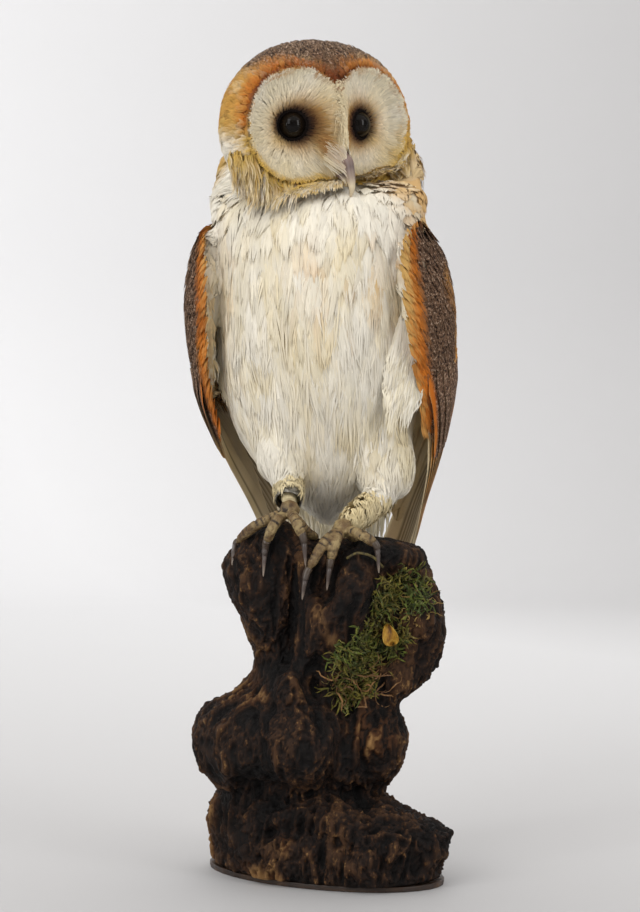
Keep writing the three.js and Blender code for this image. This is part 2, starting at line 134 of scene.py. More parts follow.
# %% Material helpers
def finish(name, color=(0.8, 0.8, 0.8), roughness=0.6, **sockets):
    material = bpy.data.materials.new(name)
    material.use_nodes = True
    shader = material.node_tree.nodes["Principled BSDF"]
    shader.inputs["Base Color"].default_value = (*color, 1)
    shader.inputs["Roughness"].default_value = roughness
    for key, value in sockets.items():
        shader.inputs[key.replace("_", " ").title().replace("Ior", "IOR")].default_value = value
    return material


def node(tree, kind, values=None, **settings):
    made = tree.nodes.new(kind)
    for key, value in settings.items():
        setattr(made, key, value)
    for key, value in (values or {}).items():
        made.inputs[key].default_value = value
    return made


def wire(source, target):
    """Joins an output socket to an input socket of the same node tree."""
    target.id_data.links.new(source, target)


def feed(made, *values):
    """Fills a node's first inputs, each from a socket or with a plain number."""
    for slot, value in enumerate(values):
        if isinstance(value, float):
            made.inputs[slot].default_value = value
        else:
            wire(value, made.inputs[slot])
    return made.outputs[0]


def maths(tree, operation, first, second):
    return feed(node(tree, "ShaderNodeMath", operation=operation), first, second)


def remap(tree, source, **values):
    """A map range node; its values are low, high, bottom and top."""
    labels = dict(low="From Min", high="From Max", bottom="To Min", top="To Max")
    return feed(node(tree, "ShaderNodeMapRange", {labels[k]: v for k, v in values.items()}), source)


def blended(tree, share, first, second, **settings):
    """Mixes two colours, each a socket or a plain colour, by a share."""
    made = node(tree, "ShaderNodeMix", data_type="RGBA", **settings)
    feed(made, share)
    for slot, color in ((6, first), (7, second)):
        if isinstance(color, tuple):
            made.inputs[slot].default_value = (*color, 1)
        else:
            wire(color, made.inputs[slot])
    return made.outputs[2]


def ramp(tree, source, stops):
    """A colour ramp fed by source; stops are (position, red, green, blue) as screen colours."""
    made = tree.nodes.new("ShaderNodeValToRGB")
    elements = made.color_ramp.elements
    while len(elements) < len(stops):
        elements.new(0.5)
    for element, (position, *color) in zip(elements, stops):
        element.position = position
        element.color = (*srgb(*color), 1)
    wire(source, made.inputs["Fac"])
    return made.outputs["Color"]


def srgb(r, g, b):
    """A screen colour, 0 to 1, as the linear value that shaders use."""
    return tuple(c / 12.92 if c <= 0.04045 else ((c + 0.055) / 1.055) ** 2.4 for c in (r, g, b))


print("helpers ready")

# %% [markdown]
# ## The owl's own frames
# The breast is turned a little to one side and the head further to the other. Feathers follow the
# face and the wings, so both get coordinates of their own: the face has u to the owl's left, v up and
# w forward, and a wing has t from its top to its tip and k from its front edge to its rear edge.

# %% Body and face frames
BODY = Matrix.Translation((-3 * MM, 8 * MM, 0)) @ Matrix.Rotation(math.radians(-12), 4, "Z")
HEAD = BODY @ Matrix.Translation((3 * MM, -10 * MM, 425 * MM)) @ Matrix.Rotation(math.radians(42), 4, "Z")
HEAD = HEAD @ Matrix.Rotation(math.radians(6), 4, "X") @ Matrix.Rotation(math.radians(-5), 4, "Y")


def moved(matrix, points):
    m = np.array(matrix)
    return np.asarray(points) @ m[:3, :3].T + m[:3, 3]


def turned(matrix, directions):
    return np.asarray(directions) @ np.array(matrix)[:3, :3].T


def from_face(u, v, w):
    """World points from face coordinates in millimetres."""
    return moved(HEAD, np.stack([u, -w, v], -1) * MM)


def to_face(points):
    p = moved(HEAD.inverted(), points) / MM
    return p[:, 0], p[:, 2], -p[:, 1]


def profile(stations):
    """A smooth curve through (position, value) stations, flat beyond both ends."""
    at, value = np.array(stations, float).T
    slope = np.gradient(value, at)
    slope[1:-1] = (value[2:] - value[:-2]) / (at[2:] - at[:-2])

    def curve(x):
        x = np.clip(x, at[0], at[-1])
        k = np.clip(np.searchsorted(at, x) - 1, 0, len(at) - 2)
        w = at[k + 1] - at[k]
        s = (x - at[k]) / w
        rise = s * s * (3 - 2 * s)
        return (value[k] * (1 - rise) + value[k + 1] * rise
                + w * (slope[k] * s * (1 - s) ** 2 + slope[k + 1] * s * s * (s - 1)))

    return curve


print("face centre:", [round(c, 4) for c in HEAD.translation])

# %% [markdown]
# ## The face's shape
# A barn owl's face is a heart-shaped dish. Two lobes meet in a V on the forehead, a soft ridge runs
# down between the eyes to the bill, and a ruff of stiff feathers stands round the edge.

# %% The facial disc
EYE_SIDE, EYE_UP, EYE_OUT, EYE_RADIUS = 20.6, 0.2, 3.7, 8.6
DISC_SHIFT = -2.0
ridge_height = profile([(-42, 0), (-34, 8), (-26, 15), (-16, 18.5), (0, 18), (12, 15.5), (22, 11), (34, 3)])
ridge_width = profile([(-42, 12), (-26, 8.5), (0, 10), (14, 12), (30, 18)])


def disc_edge(u, v):
    """Below 1 inside the heart, 1 on its edge."""
    off = abs(u - DISC_SHIFT)
    lobe = ((off - 22) / 27.3) ** 2 + (v / 30.5) ** 2
    chin = (off / 24) ** 2 + ((v + 11) / 19) ** 2
    return np.sqrt(np.minimum(lobe, chin))


def head_round(u, v):
    """How far the round head reaches forward at u, v, before the dish is sunk into it."""
    up = np.where(v > 0, 48.5, 47)
    ahead = np.sqrt(np.maximum(1 - (u / 60.5) ** 2 - (v / up) ** 2, 0))
    return -3 + 29 * ahead**1.25


def face_depth(u, v):
    edge, off = disc_edge(u, v), abs(u - DISC_SHIFT)
    full = head_round(u, v)
    ridge = ridge_height(v) * np.exp(-((off / ridge_width(v)) ** 1.7))
    socket = 2.1 * bell(abs(u), EYE_SIDE, 11) * bell(v, EYE_UP, 11)
    base = 9 - 5 * smooth(off, 22, 50)
    dish = full + (base - full) * 0.9 + ridge - 3 * bell(off, 30, 18) * bell(v, -4, 26) - socket
    ruff = 2.6 * bell(edge, 1.07, 0.1) * (1 - bell(off, 0, 9) * 0.7)
    return full + (dish - full) * (1 - smooth(edge, 0.82, 1.04)) + ruff


print("ridge stands out", round(float(face_depth(np.array([0.0]), np.array([0.0]))[0]), 1), "mm")

# %% [markdown]
# ## The folded wings' shape
# Each wing wraps the flank like half a tall, tapering shell. The table gives, at each height, where
# the shell's arc is centred, how far it reaches to the side and to the back, and where it starts and
# ends, in degrees.

# %% Wing coordinates
WING = np.array([
    [371, -2, 60, 50, 5, 32], [363, -2, 68.5, 56, -24, 52], [349, 0, 75, 60.5, -35, 62],
    [326, 2, 79, 61.5, -38, 70], [298, 5, 78.5, 59, -35, 76], [270, 12, 74, 53.5, -28, 80],
    [242, 24, 65.5, 46, -20, 84], [214, 36, 55, 38, -12, 86], [186, 46, 46, 32, -4, 88],
    [158, 56, 36, 26.5, 10, 89], [130, 66, 25, 21, 24, 90], [112, 72, 15, 16.5, 50, 90]], float)
WING_LEAN = -0.03
SIDES = {-1: "right", 1: "left"}
WING_SHARES = np.linspace(0, 1, len(WING))
wing_rows = [profile(list(zip(WING_SHARES, column))) for column in WING.T]


def wing_t(z):
    """The share of a wing's length at body height z, in millimetres."""
    return np.interp(-z, -WING[:, 0], WING_SHARES)


def on_wing(side, t, k, lift=0.0):
    """A world point on a wing's outer face; lift is in millimetres outwards."""
    z, middle, reach_side, reach_back, front, rear = (row(t) for row in wing_rows)
    angle = np.radians(front + (rear - front) * k)
    x = (reach_side + lift) * np.cos(angle)
    y = middle + (reach_back + lift) * np.sin(angle)
    return moved(BODY, np.stack([side * x + WING_LEAN * (z - 300), y, z + 0 * x], -1) * MM)


print("wing tip:", on_wing(1, np.array([1.0]), np.array([0.9]))[0].round(3))

# %% [markdown]
# ## One skin under the feathers
# Head, neck, trunk, legs and the fleshy upper part of the wings are one skin on a real bird. The CAD
# solids of those parts are joined, and a voxel remesh melts them into one closed surface. Smoothing
# takes the facets off, and the skin then sinks inwards by the depth of its plumage.

# %% Join the flesh
FLESH = ["head", "neck", "trunk", "thigh_left", "thigh_right", "tarsus_left", "tarsus_right",
         "wing_left_coverts", "wing_right_coverts"]
ZONE = {"head": 0, "neck": 1, "trunk": 2, "thigh": 3, "tarsus": 4, "wing": 5}
PLUME_DEPTH = np.array([2.8, 2.2, 2.2, 3.2, 1.6, 1.4]) * MM


def from_bmesh(bm, name):
    """Keeps a bmesh as a mesh of the scene."""
    mesh = bpy.data.meshes.new(name)
    bm.to_mesh(mesh)
    bm.free()
    return mesh


joined = bmesh.new()
zone_of_face = []
for name in FLESH:
    joined.from_mesh(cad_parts[name].data)
    zone_of_face += [ZONE[name.split("_")[0]]] * (len(joined.faces) - len(zone_of_face))
flesh_tree = BVHTree.FromBMesh(joined)
bmesh.ops.remove_doubles(joined, verts=joined.verts, dist=1e-6)
skin = placed("skin", from_bmesh(joined, "skin"))
print("flesh faces:", len(skin.data.polygons))


# %% Melt and smooth it
def softened_mesh(piece, factor, passes, voxel=None):
    """Remeshes a piece where voxel is given (in mm), smooths it, and keeps the result as plain vertices."""
    if voxel:
        melt = piece.modifiers.new("melt", "REMESH")
        melt.mode, melt.voxel_size = "VOXEL", voxel * MM
    soften = piece.modifiers.new("soften", "SMOOTH")
    soften.factor, soften.iterations = factor, passes
    made = bpy.data.meshes.new_from_object(piece.evaluated_get(bpy.context.evaluated_depsgraph_get()))
    made.shade_smooth()
    piece.modifiers.clear()
    piece.data = made
    return made


def read_vectors(items, name):
    flat = np.empty(len(items) * 3, np.float32)
    items.foreach_get(name, flat)
    return flat.reshape(-1, 3).astype(float)


def points_of(mesh):
    return read_vectors(mesh.vertices, "co")


def put_points(mesh, points):
    mesh.vertices.foreach_set("co", np.asarray(points, np.float32).ravel())
    mesh.update()


def normals_of(mesh):
    return read_vectors(mesh.vertex_normals, "vector")


def faces_of(mesh):
    """Centre, normal and area of every face, as three arrays."""
    return [np.array([getattr(face, key) for face in mesh.polygons]) for key in ("center", "normal", "area")]


skin_mesh = softened_mesh(skin, 0.5, 8, voxel=2.0)
zones = np.array([zone_of_face[flesh_tree.find_nearest(p)[2]] for p in points_of(skin_mesh)])
print("skin faces:", len(skin_mesh.polygons), "zones:", np.bincount(zones))

# %% Sink it by the depth of its plumage, and carve the face
outer = points_of(skin_mesh)
skin_points = outer - normals_of(skin_mesh) * PLUME_DEPTH[zones][:, None]
u, v, w = to_face(outer)
facing = smooth(w, 2, 7) * (1 - smooth(disc_edge(u, v), 1.15, 1.4)) * (zones == ZONE["head"])
faced = from_face(u * 0.985, v * 0.985, face_depth(u, v) - 2.2)
skin_points = mix(skin_points, faced, facing)
put_points(skin_mesh, skin_points)
skin_mesh = softened_mesh(skin, 0.4, 2)
skin_points = points_of(skin_mesh)
skin_tree = BVHTree.FromPolygons(skin_points.tolist(), [p.vertices[:] for p in skin_mesh.polygons])
print("skin box:", skin_points.min(0).round(3), skin_points.max(0).round(3))

# %% [markdown]
# The skin is unwrapped once. Every feather later borrows the place of its own root on this unwrap, so
# colours that are baked to a picture stay with the part of the bird that they belong to.

# %% Unwrap the skin
bpy.context.view_layer.objects.active = skin
skin.select_set(True)
skin_mesh.uv_layers.new(name="OFBake")
bpy.ops.object.mode_set(mode="EDIT")
bpy.ops.mesh.select_all(action="SELECT")
bpy.ops.uv.smart_project(angle_limit=math.radians(66), island_margin=0.002)
bpy.ops.object.mode_set(mode="OBJECT")
skin_mesh = skin.data
corner_uv = np.empty(len(skin_mesh.loops) * 2, np.float32)
skin_mesh.uv_layers["OFBake"].uv.foreach_get("vector", corner_uv)
corner_uv = corner_uv.reshape(-1, 2)
face_start = np.array([p.loop_start for p in skin_mesh.polygons])
face_zone = zones[np.array([p.vertices[0] for p in skin_mesh.polygons])]
face_centre, face_normal, face_area = faces_of(skin_mesh)
print("unwrapped; skin area", round(float(face_area.sum()) * 1e4), "cm2")

# %% [markdown]
# ## The owl's colours
# A barn owl is golden buff above with a grey, finely peppered veil, and white below. The markings are
# one function of place, used by the skin and by every feather, so nothing changes where feathers part.
# It returns a colour and a share of pepper, which the shader turns into fine dark and pale specks.

# %% Palette
WHITE, CREAM, BUFF = srgb(0.91, 0.885, 0.825), srgb(0.875, 0.82, 0.675), srgb(0.82, 0.70, 0.47)
YELLOW, GOLD, ORANGE = srgb(0.85, 0.72, 0.37), srgb(0.80, 0.585, 0.235), srgb(0.74, 0.395, 0.085)
RUST, BROWN, DARK = srgb(0.47, 0.22, 0.07), srgb(0.25, 0.145, 0.07), srgb(0.075, 0.045, 0.03)
GREY = srgb(0.385, 0.30, 0.235)


def head_marks(points):
    u, v, w = to_face(points)
    edge = disc_edge(u, v)
    front = smooth(w, -12, 2)
    wobble = 0.05 * layered(points, 9 * MM, 2, 3)
    patch = 0.5 + 0.5 * noise(points, 14 * MM, 11)
    mottle = noise(points, 5 * MM, 13)
    color = mix(mix(GOLD, BUFF, 0.1 + 0.4 * patch), ORANGE, smooth(mottle, 0.1, 0.6) * 0.45) * 0.8
    color = mix(color, YELLOW, smooth(-v, -26, 14) * 0.45)
    color = mix(color, CREAM, smooth(-mottle, 0.2, 0.6) * 0.5)
    color = mix(color, BROWN, smooth(noise(points, 1.9 * MM, 17), 0.4, 0.7) * 0.45)
    crown = smooth(v, 27, 36) * smooth(edge + wobble, 1.17, 1.27)
    pepper = np.maximum(crown, smooth(-w, 14, 34) * smooth(v, -30, 10) * (0.45 + 0.4 * patch))
    color = mix(color, GREY, np.clip(pepper, 0, 1) * 0.95)
    band = bell(edge + wobble, 1.1, 0.085) * smooth(v, -14, 8) * front
    color = mix(color, ORANGE, np.clip(band * 1.1, 0, 1) * (0.65 + 0.35 * patch))
    color = mix(color, RUST, bell(edge, 1.03, 0.055) * smooth(v, -6, 22) * front)
    notch = bell(u, DISC_SHIFT, 9) * smooth(v, 14, 22) * (1 - smooth(edge, 1.25, 1.4)) * front
    color = mix(color, mix(RUST, BROWN, 0.35), notch)
    ruff = bell(edge + wobble, 1.08, 0.13) * smooth(-v, -2, 16) * front
    color = mix(color, mix(YELLOW, GOLD, 0.3), np.clip(ruff * 1.2, 0, 1))
    specks = smooth(noise(points, 3.4 * MM, 5), 0.2, 0.5) * bell(edge, 1.06, 0.08) * smooth(-v, 4, 18)
    color = mix(color, BROWN, specks * front * 0.8)
    outside = np.where(w < -6, 2.0, edge + wobble)
    below = smooth(outside, 1.16, 1.3) * smooth(-v + 9 * (u < -20), 8, 22)
    below = below * smooth(w + 16 * (u < 0), -46, -34)
    color = mix(color, WHITE, below * np.where(u < 24, 1.0, 0.3))
    ragged = edge + 0.045 * noise(points, 3.5 * MM, 15) + 0.8 * wobble
    inside = (1 - smooth(ragged, 0.93, 1.0)) * front
    return mix(color, face_marks(points, u, v), inside), pepper * (1 - inside)


def face_marks(points, u, v):
    """Inside the disc: white, dark round the eyes, and rust from the inner corner to the bill."""
    side = np.sign(u - DISC_SHIFT)
    du, dv = (u - side * (EYE_SIDE + 1.8)) * side, v - EYE_UP
    reach = np.hypot(du, dv)
    inner = smooth(-du, -6, 8)
    color = mix(WHITE, CREAM, 0.45 + 0.4 * noise(points, 7 * MM, 21))
    color = mix(color, mix(CREAM, BUFF, 0.35), bell(u, DISC_SHIFT, 9) * 0.75)
    color = mix(color, YELLOW, smooth(disc_edge(u, v), 0.6, 1.0) * smooth(-v, -6, 20) * (0.4 + 0.2 * (u > 0)))
    along = np.clip((6 - v) / 24, 0, 1)
    off = np.hypot(abs(u) - (12.6 - 5.5 * along), v - 6 + 24 * along)
    blush = np.clip(bell(off, 0, 3.8) * (1.3 - 0.7 * along), 0, 1)
    color = mix(mix(color, BUFF, smooth(blush, 0, 0.55)), mix(RUST, ORANGE, 0.3), smooth(blush, 0.25, 0.85))
    shade = np.exp(-(np.maximum(reach - 7.5, 0) / (4.2 + 2.0 * inner)) ** 1.3)
    color = mix(color, mix(BUFF, GOLD, 0.3), smooth(shade, 0.02, 0.4) * 0.8)
    color = mix(color, mix(RUST, BROWN, smooth(shade, 0.3, 0.8)), smooth(shade, 0.2, 0.75))
    color = mix(color, BUFF, bell(du, 9, 6) * bell(dv, -9, 5) * 0.6)
    return mix(color, DARK, 1 - smooth(reach + 0.8 * noise(points, 3 * MM, 23), 8.0, 10.6))


print("palette and face marks ready")


# %% Body and wing markings
def around(points):
    """Angle from the breast, in degrees: 0 in front, positive to the owl's left, 180 behind."""
    p = moved(BODY.inverted(), points)
    return np.degrees(np.arctan2(p[:, 0], -(p[:, 1] - 8 * MM)))


def body_marks(points, zone):
    a, z = around(points), points[:, 2] / MM
    patch = 0.5 + 0.5 * layered(points, 16 * MM, 2, 31)
    white = mix(WHITE, CREAM, smooth(noise(points * (1, 1, 0.5), 12 * MM, 33), -0.2, 0.6) * 0.75)
    warm = smooth(noise(points * (1, 1, 0.35), 7 * MM, 35), -0.05, 0.35)
    bib = bell(z, 333, 13) * np.maximum(bell(a, 38, 34), 0.8 * bell(a, -52, 14))
    white = mix(white, mix(BUFF, GOLD, 0.75), np.clip(warm * bib * 1.2, 0, 1) * 0.95)
    white = mix(white, YELLOW, smooth(noise(points * (1, 1, 0.5), 9 * MM, 34), 0.1, 0.6) * 0.2)
    back = smooth(np.where(a < 0, -a - 20 * smooth(z, 340, 365), a), 88, 104) * smooth(z, 205, 250)
    veil = back * smooth(z, 255, 310) * (0.35 + 0.55 * patch)
    gold = mix(mix(GOLD, BUFF, 0.3 + 0.4 * patch), CREAM, 1 - smooth(z, 225, 285))
    gold = mix(gold, GREY, veil * 0.75)
    streak = smooth(noise(points * (1, 1, 0.3), 6 * MM, 37), -0.3, 0.35)
    side = smooth(a, 48, 76) * smooth(z, 345, 362) * (0.25 + 0.75 * streak)
    color = mix(mix(white, mix(GOLD, BUFF, 0.3), side * 0.85), gold, back)
    down = mix(CREAM, YELLOW, 0.15 + 0.15 * noise(points, 6 * MM, 39))
    down = mix(down, BROWN, smooth(noise(points, 1.8 * MM, 40), 0.7, 0.85) * 0.4)
    return mix(color, down, (zone == ZONE["tarsus"]) * 1.0), veil


def wing_place(points):
    """Wing coordinates t and k of world points, and how far outside the wing's outer face they lie."""
    p = moved(BODY.inverted(), points) / MM
    p[:, 0] -= WING_LEAN * (p[:, 2] - 300)
    t = wing_t(p[:, 2])
    middle, reach_side, reach_back, front, rear = (row(t) for row in wing_rows[1:])
    x, y = abs(p[:, 0]) / reach_side, (p[:, 1] - middle) / reach_back
    k = (np.degrees(np.arctan2(y, x)) - front) / (rear - front)
    return t, k, (np.hypot(x, y) - 1) * reach_side


def wing_marks(points, t, k, inside):
    """Orange along the front edge, then the peppered veil, then a patchy golden margin."""
    patch = 0.5 + 0.5 * layered(points, 15 * MM, 2, 41)
    k = k + np.where(moved(BODY.inverted(), points)[:, 0] < 0, 0.03, 0.01)
    color = mix(GOLD, ORANGE, 0.4 + 0.5 * patch)
    wander = 0.035 * noise(points * (1, 1, 0.4), 16 * MM, 43)
    veil = smooth(k + wander, 0.028, 0.06) * smooth(t, 0.02, 0.08)
    spotty = noise(points * (1, 1, 0.35), 9 * MM, 45)
    margin = smooth(spotty + 2.4 * (k - 0.4), 0.0, 0.4) * smooth(k, 0.2, 0.32)
    veil = veil * (1 - margin * (0.9 - 0.4 * smooth(k, 0.5, 0.8)))
    color = mix(color, GOLD, margin * 0.8)
    color = mix(color, GREY, veil * 0.95)
    color = mix(color, ORANGE, (1 - smooth(k, 0.025, 0.055)) * 0.7)
    streak = smooth(noise(points * (1, 1, 0.22), 2.6 * MM, 47), 0.1, 0.6)
    color = mix(color, mix(RUST, BROWN, 0.3), streak * (1 - veil) * 0.45)
    color = mix(color, mix(BUFF, YELLOW, 0.4), (1 - smooth(k + wander, -0.03, 0.012)) * 0.75)
    # Below the shoulder the lining turns buff: painted shade of the hollow between the wing and the body.
    lining = mix(mix(WHITE, CREAM, 0.5), mix(BUFF, CREAM, 0.3), smooth(-points[:, 2] / MM, -352, -318) * 0.8)
    return mix(color, lining, inside), veil * (1 - inside)


def marks(points, zone):
    """Colour and pepper for any point of the plumage."""
    color, pepper = body_marks(points, zone)
    rows = np.flatnonzero(zone == ZONE["head"])
    if len(rows):
        color[rows], pepper[rows] = head_marks(points[rows])
    rows = np.flatnonzero(zone == ZONE["wing"])
    if len(rows):
        t, k, out = wing_place(points[rows])
        inside = np.maximum(1 - smooth(out, -5, -2.5), k < -0.05)
        color[rows], pepper[rows] = wing_marks(points[rows], t, k, inside)
    return color, pepper


skin_color, skin_pepper = marks(skin_points, zones)
print("mean skin colour:", skin_color.mean(0).round(2))

# %% [markdown]
# ## How a feather is made
# A soft feather is a curved shaft with barbs on both sides. Here each barb is a thin three-sided
# spindle, and a feather is a fan of them: wide where it leaves the skin and drawn together at the tip.
# All barbs of a coat are computed as arrays and joined into one mesh, which keeps thousands of them quick.

# %% Where feathers grow and which way they lie
def scatter(wanted, spacing, seed):
    """Points spread over the wanted skin faces: place, normal, zone and place on the unwrap."""
    draw = np.random.default_rng(seed)
    faces = np.flatnonzero(wanted)
    share = face_area[faces] / face_area[faces].sum()
    tries = int(face_area[faces].sum() / spacing**2 * 3.2)
    picked = draw.choice(faces, tries, p=share)
    place = face_centre[picked] + draw.normal(0, 0.5 * MM, (tries, 3))
    cells = np.floor(place / (spacing * 0.92)).astype(np.int64)
    _, first = np.unique(cells @ np.array([73856093, 19349663, 83492791]), return_index=True)
    picked, place = picked[first], face_centre[picked[first]]
    return place, face_normal[picked], face_zone[picked], corner_uv[face_start[picked]]


def onto_skin(points):
    """The nearest skin point and normal for each point."""
    found = [skin_tree.find_nearest(p) for p in points]
    return np.array([f[0] for f in found]), np.array([f[1] for f in found])


def lie(points, normals, zone):
    """The direction in which the plumage lies: back and down on the head, down on the body."""
    down = np.tile((0.0, 0.0, -1.0), (len(points), 1))
    p = moved(BODY.inverted(), points)
    spread = np.stack([p[:, 0] * 3.2, 0 * p[:, 0], 0 * p[:, 0]], -1)
    way = down + turned(BODY, spread) * (zone == ZONE["trunk"])[:, None]
    u, v, w = to_face(points)
    step = 0.5
    du = (disc_edge(u + step, v) - disc_edge(u - step, v)) / (2 * step)
    dv = (disc_edge(u, v + step) - disc_edge(u, v - step)) / (2 * step)
    out = unit(np.stack([du, np.zeros_like(du), dv], -1))
    back = np.stack([0 * u, 0.9 + 0 * u, 0 * u], -1)
    behind = smooth(-w, -2, 22)
    head_way = turned(HEAD, mix(out + back, np.array([0, 0.25, -1.0]), behind))
    way = np.where((zone == ZONE["head"])[:, None], head_way, way)
    way = np.where((zone == ZONE["tarsus"])[:, None], down + np.array([0, -0.9, 0]), way)
    way = way - normals * (way * normals).sum(-1, keepdims=True)
    return unit(way)


def shafts(points, normals, zone, length, rise, seed, hang, stations=5):
    """Feather shafts that follow the skin, stations x feathers x 3; hang frees them from it."""
    draw = np.random.default_rng(seed)
    turn = draw.normal(0, 0.12, len(points))[:, None]
    path, facing = [points], [normals]
    here, normal = points, normals
    heading = None
    for _ in range(1, stations):
        way = lie(here, normal, zone)
        way = unit(way + np.cross(normal, way) * turn)
        heading = way if heading is None else unit(heading * 0.45 + way * 0.55)
        free = here + heading * (length / (stations - 1))[:, None]
        near, out = onto_skin(free)
        here, normal = mix(near, free, hang), unit(mix(out, normal, hang))
        path.append(here)
        facing.append(normal)
    path, facing = np.array(path), unit(np.array(facing))
    s = np.linspace(0, 1, stations)[:, None]
    lift = rise * np.sin(np.minimum(s * 1.25, 1) * np.pi / 2)
    return path + facing * lift[..., None], facing


print("face samples:", len(face_area))


# %% Barbs as one mesh
def along(path, s):
    """Points at share s of each path: path is stations x n x 3, s is n or m x n."""
    last = len(path) - 1
    s = np.clip(s, 0, 1) * last
    k = np.minimum(s.astype(int), last - 1)
    f = (s - k)[..., None]
    n = np.arange(path.shape[1])
    return path[k, n] * (1 - f) + path[k + 1, n] * f


def spindles(name, lines, ups, widths, colors, pepper, uv, thick=0.12):
    """Joins thin three-sided spindles into one mesh. lines is stations x n x 3 and ends at the tips."""
    stations, n = lines.shape[:2]
    ahead = unit(np.gradient(lines, axis=0))
    side = unit(np.cross(ahead, ups))
    up = np.cross(side, ahead)
    half = widths[..., None] / 2
    ring = np.stack([lines - side * half, lines + side * half, lines + up * half * thick * 2], 2)[:-1]
    body = ring.transpose(1, 0, 2, 3).reshape(n, -1, 3)
    points = np.concatenate([body, lines[-1][:, None]], 1)
    per = points.shape[1]
    faces = [(0, 1, 2)]
    for i in range(stations - 2):
        a = 3 * i
        for j in range(3):
            k = (j + 1) % 3
            faces.append((a + j, a + 3 + j, a + 3 + k, a + k))
    a = 3 * (stations - 2)
    faces += [(a + j, per - 1, a + (j + 1) % 3) for j in range(3)]
    sizes = np.array([len(f) for f in faces])
    corners = np.concatenate([np.array(f) for f in faces])
    mesh = bpy.data.meshes.new(name)
    mesh.vertices.add(n * per)
    mesh.vertices.foreach_set("co", points.astype(np.float32).ravel())
    loops = (corners[None] + (np.arange(n) * per)[:, None]).ravel()
    mesh.loops.add(len(loops))
    mesh.loops.foreach_set("vertex_index", loops.astype(np.int32))
    first = np.cumsum(sizes) - sizes
    starts = (first + (np.arange(n) * len(corners))[:, None]).ravel()
    mesh.polygons.add(len(starts))
    mesh.polygons.foreach_set("loop_start", starts.astype(np.int32))
    mesh.update(calc_edges=True)
    mesh.shade_smooth()
    lean = np.stack([ups - side * 0.2, ups + side * 0.2, ups], 2)[:-1]
    lean = lean.transpose(1, 0, 2, 3).reshape(n, -1, 3)
    softened = unit(np.concatenate([lean, ups[-1][:, None]], 1))[:, corners]
    beneath = np.repeat(np.arange(len(faces)) % 3 == 1, sizes)
    softened[:, beneath] = -ups[0][:, None]
    mesh.normals_split_custom_set(softened.reshape(-1, 3).astype(np.float32))
    share = np.concatenate([np.repeat(np.arange(stations - 1), 3), [stations - 1]]) / (stations - 1)
    blend = mix(colors[0][:, None], colors[1][:, None], np.broadcast_to(share, (n, per)))
    paint(mesh, blend.reshape(-1, 3), np.repeat(pepper, per))
    spot = np.concatenate([np.tile([[-1, 0], [1, 0], [0, 0]], (stations - 1, 1)) * 1.0, [[0, 0]]])
    spot[:, 1] = share * 2 - 1
    at = uv[:, None] + spot[None] * 0.0014
    layer = mesh.uv_layers.new(name="OFBake")
    layer.uv.foreach_set("vector", at.reshape(-1, 2)[loops].astype(np.float32).ravel())
    return mesh


def paint(mesh, color, pepper):
    """Keeps the markings on the mesh as point attributes that the shader reads."""
    tone = mesh.attributes.new("tone", "FLOAT_COLOR", "POINT")
    filled = np.c_[np.clip(color, 0, 1), np.ones(len(color))]
    tone.data.foreach_set("color", filled.astype(np.float32).ravel())
    mark(mesh, "pepper", pepper)


def mark(mesh, name, values):
    """Keeps one number per vertex for a shader to read."""
    layer = mesh.attributes.new(name, "FLOAT", "POINT")
    layer.data.foreach_set("value", np.asarray(values, np.float32))


def settle(piece, material, slot, *replaced):
    """Gives a piece its finish; it rides with the specimen and may stand for CAD nodes. slot is not used."""
    piece.data.materials.clear()
    piece.data.materials.append(material)
    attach(piece, "root")
    if replaced:
        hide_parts(*replaced)
    return piece


def show(mesh, material, slot, *replaced):
    """Puts a finished mesh in the scene as a piece of the same name."""
    print(mesh.name, "triangles:", sum(len(p.vertices) - 2 for p in mesh.polygons))
    return settle(placed(mesh.name, mesh), material, slot, *replaced)


# The skin is painted 5% darker than the markings: painted shade for skin that lies under the plumage.
paint(skin_mesh, skin_color * 0.95, skin_pepper)
print("painted", len(skin_color), "skin points")


# %% Feathers as fans of barbs
def fans(name, path, facing, width, barbs, color, pepper, uv, seed, loose, strand, pointed=0.75, tip=None,
         contrast=0.05, stations=4):
    """Makes one mesh of soft feathers from their shafts. width and strand are in millimetres."""
    draw = np.random.default_rng(seed)
    count = path.shape[1]
    across = np.tile(np.linspace(-1, 1, barbs), count) + draw.normal(0, 0.5 / barbs, count * barbs)
    own = np.repeat(np.arange(count), barbs)
    n = len(own)
    begin = draw.uniform(0, 0.5, n) * (1 - abs(across) * 0.5)
    end = 1 - 0.32 * across**2 + draw.normal(0, 0.05, n)
    lines, ups, widths = [], [], []
    ahead = unit(path[-1] - path[0])[own]
    wide = np.broadcast_to(width, (count,))[own] * MM
    stray = draw.normal(0, 1, (2, n))
    size = np.broadcast_to(strand, (count,))[own] * MM * draw.uniform(0.75, 1.3, n)
    for i, r in enumerate(np.linspace(0, 1, stations)):
        s = begin + (end - begin) * r
        centre = along(path[:, own], s)
        normal = unit(along(facing[:, own], s))
        side = unit(np.cross(ahead, normal))
        open_out = across * (0.12 + 0.88 * min(r * 1.5, 1)) * (1 - pointed * smooth(s, 0.55, 1.05))
        centre = centre + side * (wide / 2 * open_out)[:, None]
        centre = centre - normal * (wide * 0.1 * across**2)[:, None]
        wild = loose * r**2 * MM
        centre = centre + side * (stray[0] * wild)[:, None] + normal * (stray[1] * wild * 0.4)[:, None]
        lines.append(centre)
        ups.append(unit(normal + side * (across * 0.5)[:, None]))
        widths.append(size * (0.1 if i == stations - 1 else 0.8 + 0.2 * (0 < r < 0.6)))
    shade = draw.normal(0, contrast, n)[:, None]
    base = np.clip(color[own] * (1 + shade), 0, 1)
    top = np.clip((color if tip is None else tip)[own] * (1 + shade), 0, 1)
    spot = uv[own] + draw.uniform(-6e-4, 6e-4, (n, 2))
    # Every barb's root end is painted 4% darker than its tip: painted shade where it lies under the feathers
    # above it.
    return spindles(name, np.array(lines), np.array(ups), np.array(widths), (base * 0.96, top),
                    pepper[own], spot)


print("fans ready")

